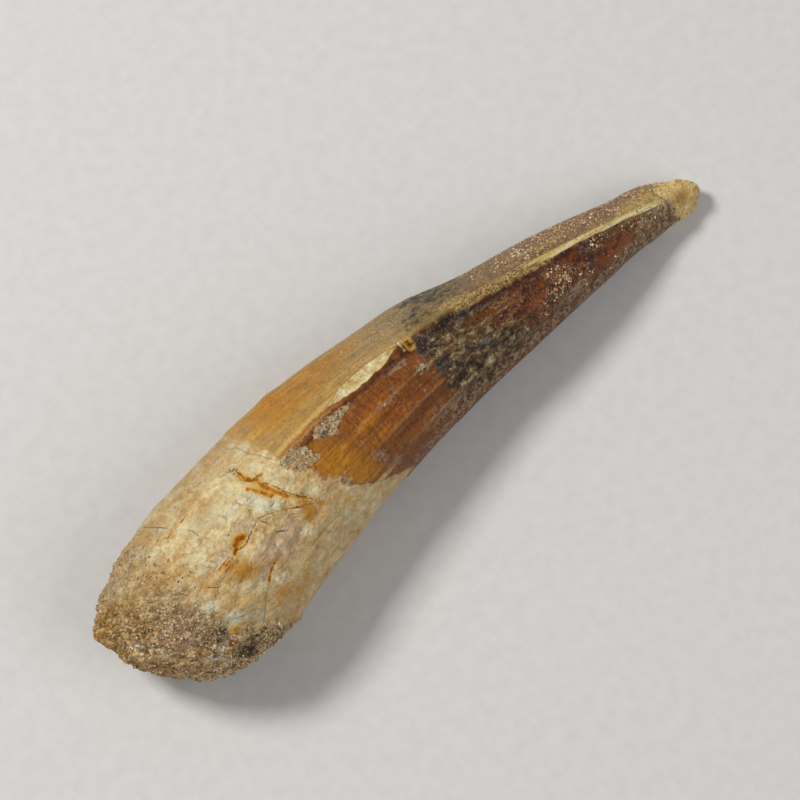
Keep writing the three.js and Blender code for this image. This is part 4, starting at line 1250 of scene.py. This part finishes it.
def ridge_colour(skin, crown):
    """The pale chip and cream line low on the ridge, its sandy crest and the dark line under, which is
    partly a dark stain and partly painted shadow below the crest. A pale line along the chip's rim is a
    painted highlight.
    """
    recipe = skin.recipe
    offset, distance = skin.ridge_offset, skin.distance
    wavy = recipe.sum("ADD", offset, recipe.times(recipe.sum("SUBTRACT", skin.middling, 0.5), 0.9))
    low_on_it = recipe.times(recipe.rise(distance, 16.5, 18), recipe.rise(distance, 33, 30.5))
    chip = recipe.rise(skin.chip_in, -0.02, 0.05)
    pale_chip = recipe.ramp(skin.middling, (
        (0.38, shown(190, 152, 88)), (0.46, shown(212, 186, 128)), (0.56, shown(224, 214, 168))))
    rim = recipe.times(recipe.near(skin.chip_in, -0.03, 0.045), recipe.rise(skin.fine, 0.36, 0.46))
    rim = recipe.times(rim, recipe.rise(distance, 22.8, 23.6), recipe.rise(distance, 31, 30))
    lit_rim = recipe.times(
        recipe.near(skin.chip_in, -0.11, 0.07), recipe.rise(offset, 0.1, 0.3),
        recipe.rise(distance, 31, 30), recipe.rise(distance, 22.8, 24))
    pale_chip = recipe.shaded(pale_chip, recipe.swing(skin.hatch, 0.6))
    pale_chip = recipe.shaded(pale_chip, recipe.swing(skin.fine, 0.8))
    sand = recipe.ramp(recipe.sum("MULTIPLY_ADD", skin.dust, 0.6, recipe.times(skin.fine, 0.4)), (
        (0.4, shown(86, 58, 32)), (0.46, shown(138, 106, 60)), (0.52, shown(170, 138, 82)),
        (0.6, shown(206, 178, 120))))
    sandy = recipe.times(
        recipe.near(wavy, 0.02, 0.8), recipe.rise(distance, 34, 36.5), recipe.rise(distance, 46, 43))
    calm = recipe.sum("ADD", offset, recipe.times(recipe.sum("SUBTRACT", skin.streaks, 0.5), 0.5))
    thin = recipe.times(
        recipe.near(calm, 0.0, 0.3), recipe.rise(distance, 41, 44), recipe.rise(distance, 56, 53))
    olive = recipe.times(
        recipe.near(wavy, 0.4, 0.9), recipe.rise(distance, 30, 32), recipe.rise(distance, 37, 35))
    cream = recipe.ramp(skin.streaks, (
        (0.4, shown(204, 170, 90)), (0.5, shown(224, 202, 134)), (0.6, shown(232, 226, 180))))
    # The dark line under the ridge: partly a real dark stain, partly painted shadow below the crest.
    dark = recipe.times(
        recipe.near(wavy, -0.68, 0.34), recipe.rise(distance, 18, 20),
        recipe.rise(skin.streaks, 0.32, 0.5))
    dark = recipe.times(dark, recipe.sum("MULTIPLY_ADD", recipe.rise(distance, 42, 45), -0.75, 1.0))
    pink_edge = recipe.times(recipe.near(wavy, -0.22, 0.2), low_on_it, recipe.rise(distance, 25, 22))
    brown_rim = recipe.times(rim, recipe.sum("MULTIPLY_ADD", recipe.rise(offset, -0.1, 0.2), 0.4, 0.5))
    return skin.layers(
        crown,
        (recipe.times(dark, recipe.away(chip)), 0.7, (58, 30, 12)),
        (recipe.times(recipe.near(wavy, 0.28, 0.36), low_on_it), 0.75, (216, 182, 112)),
        (pink_edge, 0.6, (200, 148, 104)),
        (recipe.rise(olive, 0.2, 0.7), 0.55, (150, 122, 64)),
        (recipe.rise(sandy, 0.2, 0.6), 0.95, sand),
        (recipe.rise(thin, 0.15, 0.55), 0.95, cream),
        (chip, 1.0, pale_chip),
        (lit_rim, 0.7, (206, 166, 82)),
        (brown_rim, 1.0, (88, 56, 22)),
    )


def soot_colour(skin, crown):
    """A burnt-looking mottle of black, ash grey and brown with pale threads, and the curls of
    sand that cling to the crown beyond it."""
    recipe = skin.recipe
    burnt = recipe.noise(recipe.stretched(skin.place, 0.8, 1.4, 2.0), 1.6, 6.0, 0.75, 0.15)
    inner_ash = recipe.ramp(burnt, (
        (0.39, shown(18, 15, 17)), (0.44, shown(44, 37, 33)), (0.49, shown(80, 66, 48)),
        (0.53, shown(112, 84, 50)), (0.57, shown(140, 122, 88)), (0.65, shown(182, 168, 134))))
    outer_ash = recipe.ramp(burnt, (
        (0.4, shown(30, 27, 27)), (0.46, shown(54, 52, 48)), (0.51, shown(84, 76, 58)),
        (0.56, shown(126, 104, 58)), (0.62, shown(160, 138, 88))))
    ash = recipe.over(inner_ash, skin.outer, outer_ash)
    ash = recipe.shaded(ash, recipe.swing(skin.dust, 1.5))
    threads = recipe.noise(recipe.stretched(skin.place, 0.8, 1.5, 8.0), 1.5, 3.0, 0.6, 0.9)
    thread = recipe.times(recipe.near(threads, 0.5, 0.016), recipe.rise(skin.fine, 0.46, 0.56))
    ash = recipe.over(ash, recipe.times(thread, 0.7), shown(184, 166, 116))
    wormy = recipe.noise(skin.place, 1.3, 2.0, 0.5, 1.2)
    worm = recipe.sum("MAXIMUM", recipe.near(wormy, 0.5, 0.036), recipe.near(wormy, 0.6, 0.024))
    held = recipe.sum("MULTIPLY_ADD", recipe.rise(skin.distance, 34, 40), 0.2, skin.spot("sand"))
    worm = recipe.times(
        worm, recipe.rise(held, 0.15, 0.5), recipe.rise(skin.middling, 0.38, 0.48),
        recipe.rise(skin.fine, 0.38, 0.48))
    crown = recipe.over(crown, recipe.times(worm, skin.inner, 0.65), shown(170, 140, 100))
    curly = recipe.noise(skin.place, 2.4, 1.0, 0.5, 1.6)
    curl = recipe.times(
        recipe.near(curly, 0.52, 0.04), recipe.rise(skin.spot("dots"), 0.05, 0.35),
        recipe.rise(skin.distance, 37, 42))
    crown = recipe.over(crown, recipe.times(curl, 0.6), shown(204, 176, 134))
    return skin.layers(crown, (skin.patch("soot", skin.middling, 3.0, 0.28), 0.92, ash))


def stone_colour(skin):
    """Packed sand: each grain its own tint, painted darker towards its rim as shade, and drifts of yellow
    and rust. Near-white crumbs and specks are painted glints, and the sand near the root end gets painted
    light that makes it lighter.
    """
    recipe = skin.recipe
    cells = recipe.tree.nodes.new("ShaderNodeTexVoronoi")
    recipe.feed(cells.inputs["Vector"], skin.place)
    recipe.feed(cells.inputs["Scale"], 3.3)
    tint, _, _ = recipe.parts(cells.outputs["Color"])
    tint = recipe.sum("MULTIPLY_ADD", tint, 0.5, recipe.times(skin.fine, 0.75))
    stone = recipe.use(skin.groups["sand"], {"Tint": tint}, 0)
    drift = recipe.ramp(skin.cloudy, (
        (0.38, shown(170, 120, 54)), (0.5, shown(206, 160, 94)), (0.62, shown(230, 196, 134))))
    bent = skin.bent
    crumbs_and_glints = recipe.noise(skin.place, 2.7, 4.0, 0.75)
    lumps = recipe.noise(skin.place, 0.9, 4.0, 0.6, 0.4)
    gaps = recipe.noise(skin.place, 0.8, 3.0, 0.6, 0.8)
    stone = skin.layers(
        recipe.over(stone, 0.55, drift),
        (recipe.rise(lumps, 0.53, 0.6), 0.65, (218, 188, 144)),
        (recipe.rise(lumps, 0.47, 0.4), 0.6, (174, 130, 62)),
        (recipe.times(recipe.near(gaps, 0.5, 0.02), recipe.rise(skin.fine, 0.4, 0.52)), 0.75, (78, 56, 36)),
        (skin.patch("yellow", skin.fine, 1.8, 0.4), 0.9, (158, 116, 50)),
        (skin.patch("orange", skin.fine, 1.8, 0.4), 0.7, (186, 122, 48)),
        (skin.patch("pink_grey", skin.fine, 1.8, 0.4), 0.6, (192, 160, 126)),
        (skin.patch("blue_white", skin.fine, 1.8, 0.4), 0.7, (204, 198, 172)),
        (skin.patch("rust", skin.fine, 1.0, 0.2), 0.9, (150, 74, 22)),
    )
    # Painted shade and painted light: each grain darkens towards its cell's edge, and the sand near the root
    # end is laid lighter.
    painted_light_at_root_end = recipe.times(recipe.rise(skin.distance, 4.0, 1.2), 0.52)
    rounded = recipe.sum("MULTIPLY_ADD", cells.outputs["Distance"], -0.75, 1.3)
    stone = recipe.shaded(stone, recipe.sum("ADD", rounded, painted_light_at_root_end))
    stone = recipe.shaded(stone, recipe.swing(skin.dust, 1.2))
    stone = recipe.shaded(stone, recipe.swing(skin.fine, 1.8))
    stone = recipe.shaded(stone, recipe.swing(skin.middling, 1.8))
    # Dark crumbs and specks are the sand's own colour. The near-white crumbs and specks are painted glints.
    stone = skin.layers(
        stone,
        (recipe.rise(crumbs_and_glints, 0.47, 0.4), 0.8, (82, 58, 42)),
        (recipe.rise(crumbs_and_glints, 0.55, 0.62), 0.85, (246, 222, 180)),
        (skin.speckle(2.9, 0.3, 0.28, place=bent), 0.7, (70, 48, 34)),
        (skin.speckle(3.4, 0.3, 0.26, place=bent), 0.85, (248, 236, 214)),
    )
    return stone, cells.outputs["Distance"]


def make_skin_material(groups):
    """Cream root, amber and brown enamel, sandstone, stains and cracks on one skin."""
    material, recipe, shader = new_material("tooth_skin")
    shader.inputs["Specular IOR Level"].default_value = 0.32
    skin = Skin(recipe, groups)

    # The finishes are laid on in turn, each where it lies: root, crown, sandstone, tip, matrix and
    # black. The enamel's edge frays in streaks on the inner side.
    colour = root_colour(skin)
    frayed = recipe.times(recipe.sum("SUBTRACT", skin.fine_streaks, 0.5), 1.4)
    frayed = recipe.sum("MULTIPLY_ADD", recipe.sum("SUBTRACT", skin.middling, 0.5), 4.0, frayed)
    fraying = recipe.sum("MULTIPLY_ADD", skin.inner, 0.85, 0.15)
    edge = recipe.sum("MULTIPLY_ADD", frayed, fraying, skin.enamel_in)
    enamel = recipe.rise(edge, -0.15, 0.35)
    crown = soot_colour(skin, enamel_colour(skin))
    crown = ridge_colour(skin, crown)
    dotted = recipe.rise(skin.middling, 0.44, 0.56)
    dotty = recipe.rise(recipe.sum("ADD", skin.spot("dots"), recipe.times(skin.fine, 0.6)), 0.4, 0.9)
    ringed = recipe.times(skin.speckle(2.6, 0.75, 0.44), dotty)
    white_dots = recipe.times(skin.speckle(2.6, 0.75, 0.28), dotty)
    crown = skin.layers(
        crown,
        (recipe.times(skin.patch("sand", skin.fine, 3.0, 0.4), skin.outer), 0.7, (204, 170, 98)),
        (recipe.times(skin.speckle(3.3, 0.16, 0.3), dotted), 0.6, (50, 34, 22)),
        (ringed, 0.55, (74, 50, 34)),
        (white_dots, 0.9, (228, 206, 168)),
    )
    colour = recipe.over(colour, enamel, crown)

    ragged = recipe.times(recipe.sum("SUBTRACT", skin.fine, 0.5), 3.0)
    ragged = recipe.sum("MULTIPLY_ADD", recipe.sum("SUBTRACT", skin.cloudy, 0.5), 5.0, ragged)
    crust = recipe.rise(recipe.sum("ADD", skin.crust_in, ragged), -1.2, 1.5)
    smooth_side = recipe.times(recipe.rise(skin.side, -1.0, 2.5), recipe.rise(skin.distance, 2.0, 3.6))
    crust = recipe.times(crust, recipe.sum("MULTIPLY_ADD", smooth_side, -0.6, 1.0))
    stone, packed = stone_colour(skin)
    colour = recipe.over(colour, recipe.times(crust, 0.92), stone)

    tip = recipe.rise(recipe.sum("ADD", skin.tip_in, recipe.times(ragged, 1.5)), -0.6, 0.8)
    tip_stone = recipe.ramp(recipe.sum("MULTIPLY_ADD", skin.dust, 0.3, recipe.times(skin.fine, 0.7)), (
        (0.38, shown(196, 142, 72)), (0.44, shown(228, 180, 104)), (0.5, shown(248, 208, 136)),
        (0.58, shown(254, 230, 172))))
    hollow = recipe.times(recipe.rise(skin.middling, 0.46, 0.56), recipe.rise(skin.tip_in, 1.2, 3.0))
    tip_stone = skin.layers(
        tip_stone,
        (skin.patch("mauve", skin.fine, 2.0, 0.3), 0.5, (160, 128, 92)),
        (hollow, 0.2, (170, 110, 48)),
        (skin.patch("umber", skin.fine, 2.4, 0.35), 0.6, (180, 122, 56)),
    )
    colour = recipe.over(colour, recipe.times(tip, 0.96), tip_stone)

    chalk = skin.patch("chalk", skin.fine, 1.6, 0.12)
    chalky = recipe.ramp(recipe.sum("MULTIPLY_ADD", skin.dust, 0.6, recipe.times(skin.fine, 0.4)), (
        (0.38, shown(96, 70, 44)), (0.45, shown(170, 136, 92)), (0.52, shown(212, 184, 140)),
        (0.6, shown(240, 224, 190))))
    colour = recipe.over(colour, recipe.times(chalk, 0.9), chalky)
    black = skin.patch("black", skin.fine, 4.0, 0.15)
    sooty = recipe.ramp(skin.fine, (
        (0.42, shown(26, 24, 25)), (0.52, shown(48, 44, 42)), (0.6, shown(100, 94, 84))))
    colour = recipe.over(colour, recipe.times(black, 0.88), sooty)

    # Cracks: rusty stains first, then dark hair lines, blue-grey where they are thin.
    wander = recipe.noise(skin.straight, 2.4, 3.0, 0.6)
    stained_values = {"Crack": recipe.stored("stained"), "Wander": wander, "Widen": 1.0}
    stained = recipe.use(groups["crack"], stained_values, 0)
    depth = recipe.sum(
        "ADD", recipe.sum("SUBTRACT", skin.fine, 0.5), recipe.use(groups["crack"], stained_values, 1))
    stain = recipe.ramp(depth, (
        (0.05, shown(228, 190, 112)), (0.35, shown(218, 164, 56)), (0.7, shown(192, 126, 18)),
        (1.0, shown(142, 82, 8))))
    crack_values = {"Crack": recipe.stored("cracks"), "Wander": wander, "Widen": 0.68}
    crack = recipe.use(groups["crack"], crack_values, 0)
    crack = recipe.times(crack, recipe.rise(skin.fine, 0.38, 0.52))
    _, _, half_width = recipe.parts(recipe.stored("cracks"))
    ink = recipe.over(shown(104, 100, 84), recipe.rise(half_width, 0.036, 0.046), shown(62, 40, 20))
    colour = skin.layers(
        colour,
        (stained, recipe.rise(skin.fine, 0.3, 0.45), stain),
        (crack, 0.85, ink),
    )
    recipe.feed(shader.inputs["Base Color"], colour)

    stony = recipe.sum("MAXIMUM", crust, recipe.times(tip, 0.35))
    stony = recipe.sum("MAXIMUM", stony, recipe.times(chalk, 0.7))
    rough = recipe.sum("MULTIPLY_ADD", enamel, -0.08, 0.4)
    rough = recipe.sum("MULTIPLY_ADD", recipe.sum("SUBTRACT", skin.middling, 0.5), 0.8, rough)
    recipe.feed(shader.inputs["Roughness"], recipe.sum("MAXIMUM", rough, recipe.times(stony, 0.75)))

    def raised(height, mask, noise, middle=0.5):
        """The relief so far, in millimetres, with a noise of this height added inside a mask."""
        swing = recipe.sum("SUBTRACT", noise, middle)
        return recipe.sum("MULTIPLY_ADD", swing, recipe.times(mask, height), relief)

    pearl_relief = recipe.noise(recipe.stretched(skin.place, 1.0, 1.3, 23.0), 1.1, 2.0, 0.4)
    relief = recipe.times(recipe.sum("SUBTRACT", skin.fine, 0.5), 0.24)
    relief = raised(0.1, enamel, skin.fine_streaks)
    relief = raised(0.04, enamel, skin.hatch)
    relief = raised(0.3, stony, skin.dust)
    relief = raised(0.5, stony, skin.fine)
    relief = raised(-0.25, stony, packed)
    relief = raised(-0.05, crack, 1.0, 0.0)
    relief = raised(-0.05, stained, 1.0, 0.0)
    relief = raised(0.08, enamel, white_dots, 0.0)
    relief = raised(0.5, recipe.away(enamel), pearl_relief)
    relief = raised(-0.05, enamel, ringed, 0.0)
    bump = recipe.node("ShaderNodeBump", {"Height": relief, "Distance": 0.001, "Strength": 1.0})
    recipe.feed(shader.inputs["Normal"], bump)
    return material


def make_grain_material(name, sand_colour, roughness):
    """Sand grains, each with its own tint, dusted in places and tinged by the stains they lie in."""
    material, recipe, shader = new_material(name, roughness)
    colour = recipe.use(sand_colour, {"Tint": recipe.stored("tint", 2)}, 0)
    where = recipe.node("ShaderNodeTexCoord", output=3)
    in_millimetres = recipe.node("ShaderNodeMapping", {0: where, 3: (1 / MM, 1 / MM, 1 / MM)})
    cloud = recipe.noise(in_millimetres, 1.4, 3.0)
    yellow, pale, orange = recipe.parts(recipe.stored("hue"))
    colour = recipe.over(colour, recipe.times(recipe.rise(cloud, 0.42, 0.66), 0.45), shown(184, 142, 80))
    colour = recipe.over(colour, recipe.times(yellow, 0.85), shown(160, 120, 56))
    colour = recipe.over(colour, recipe.times(pale, 0.45), shown(210, 180, 138))
    colour = recipe.over(colour, recipe.times(orange, 0.6), shown(184, 128, 58))
    recipe.feed(shader.inputs["Base Color"], colour)
    recipe.feed(shader.inputs["Roughness"], recipe.sum("MULTIPLY_ADD", cloud, 0.3, roughness - 0.15))
    return material


def make_floor_material():
    """Plain pale card with a faint grain."""
    material, recipe, shader = new_material("pale_card", 0.85)
    where = recipe.node("ShaderNodeTexCoord", output=3)
    grain = recipe.noise(where, 900.0, 2.0)
    recipe.feed(shader.inputs["Base Color"], recipe.ramp(grain, (
        (0.3, (0.62, 0.61, 0.59, 1.0)), (0.7, (0.66, 0.65, 0.63, 1.0)))))
    return material


# ---- camera, lights and floor ----

CAMERA_TILT, TOOTH_SLOPE_IN_VIEW = 74, 43
LENS, SENSOR = 120, 36
PIXELS_ACROSS, PIXELS_PER_MM = 800, 12.95
AIM = (0, 0, 3)
AIM_PIXEL = (403.9, 403.5)


def make_camera():
    """A long lens above the tooth, turned so that the tooth runs up the picture to the right."""
    tilt = math.radians(CAMERA_TILT)
    turn = -math.atan(math.tan(math.radians(TOOTH_SLOPE_IN_VIEW)) / math.sin(tilt))
    back = Vector((math.sin(turn) * math.cos(tilt), -math.cos(turn) * math.cos(tilt), math.sin(tilt)))
    right = Vector((math.cos(turn), math.sin(turn), 0))
    up = back.cross(right)
    away = LENS / SENSOR * PIXELS_ACROSS / PIXELS_PER_MM
    across = (AIM_PIXEL[0] - PIXELS_ACROSS / 2) / PIXELS_PER_MM
    below = (AIM_PIXEL[1] - PIXELS_ACROSS / 2) / PIXELS_PER_MM
    place = Vector(AIM) + back * away - right * across + up * below
    camera = bpy.data.objects.new("camera", bpy.data.cameras.new("camera"))
    camera.data.lens, camera.data.sensor_width = LENS, SENSOR
    camera.data.sensor_fit = "HORIZONTAL"
    camera.data.clip_start, camera.data.clip_end = 0.005, 20
    axes = Matrix((right, up, back)).transposed()
    camera.matrix_world = Matrix.Translation(place * MM) @ axes.to_4x4()
    bpy.context.collection.objects.link(camera)
    bpy.context.scene.camera = camera


def make_light(name, direction, away, size, power, colour):
    """A square soft light that faces the tooth."""
    lamp = bpy.data.lights.new(name, "AREA")
    lamp.size, lamp.energy, lamp.color = size, power, colour
    light = bpy.data.objects.new(name, lamp)
    towards = Vector(direction).normalized()
    light.location = towards * away
    light.rotation_euler = towards.to_track_quat("Z", "Y").to_euler()
    bpy.context.collection.objects.link(light)


def make_studio():
    """Two soft lights, a pale sky and a pale floor."""
    make_light("key_light", (-0.3, 0.6, 0.85), 0.42, 0.1, 1.3, (1.0, 0.985, 0.96))
    make_light("fill_light", (0.3, -0.75, 0.7), 0.45, 0.35, 0.7, (0.98, 0.985, 1.0))
    world = bpy.data.worlds.new("pale_sky")
    world.use_nodes = True
    world.node_tree.nodes["Background"].inputs["Color"].default_value = (0.95, 0.97, 1.0, 1.0)
    world.node_tree.nodes["Background"].inputs["Strength"].default_value = 0.25
    bpy.context.scene.world = world
    floor_mesh = bpy.data.meshes.new("floor")
    reach = 2.0
    corners = [(-reach, -reach, 0), (reach, -reach, 0), (reach, reach, 0), (-reach, reach, 0)]
    floor_mesh.from_pydata(corners, [], [(0, 1, 2, 3)])
    floor = bpy.data.objects.new("floor", floor_mesh)
    floor.data.materials.append(make_floor_material())
    bpy.context.collection.objects.link(floor)
    bpy.context.scene.view_settings.view_transform = "Standard"


# ---- putting it together ----


def settle(piece, material):
    """Give a piece its material and its place in the frame."""
    piece.data.materials.append(material)
    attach(piece, "root")
    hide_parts("tooth")


sand_colour = make_grain_colour_group()
make_camera()
make_studio()
tooth, shift = make_tooth()
groups = {
    "broken": make_broken_group(), "crack": make_crack_group(), "specks": make_speck_group(),
    "sand": sand_colour,
}
settle(tooth, make_skin_material(groups))
for place, kinds, seed, roughness in (("root", ROOT_GRAINS, 5, 0.6), ("crown", CROWN_GRAINS, 6, 0.55)):
    grains = make_grains(f"{place}_sand_grains", kinds, shift, seed)
    settle(grains, make_grain_material(f"{place}_sand", sand_colour, roughness))
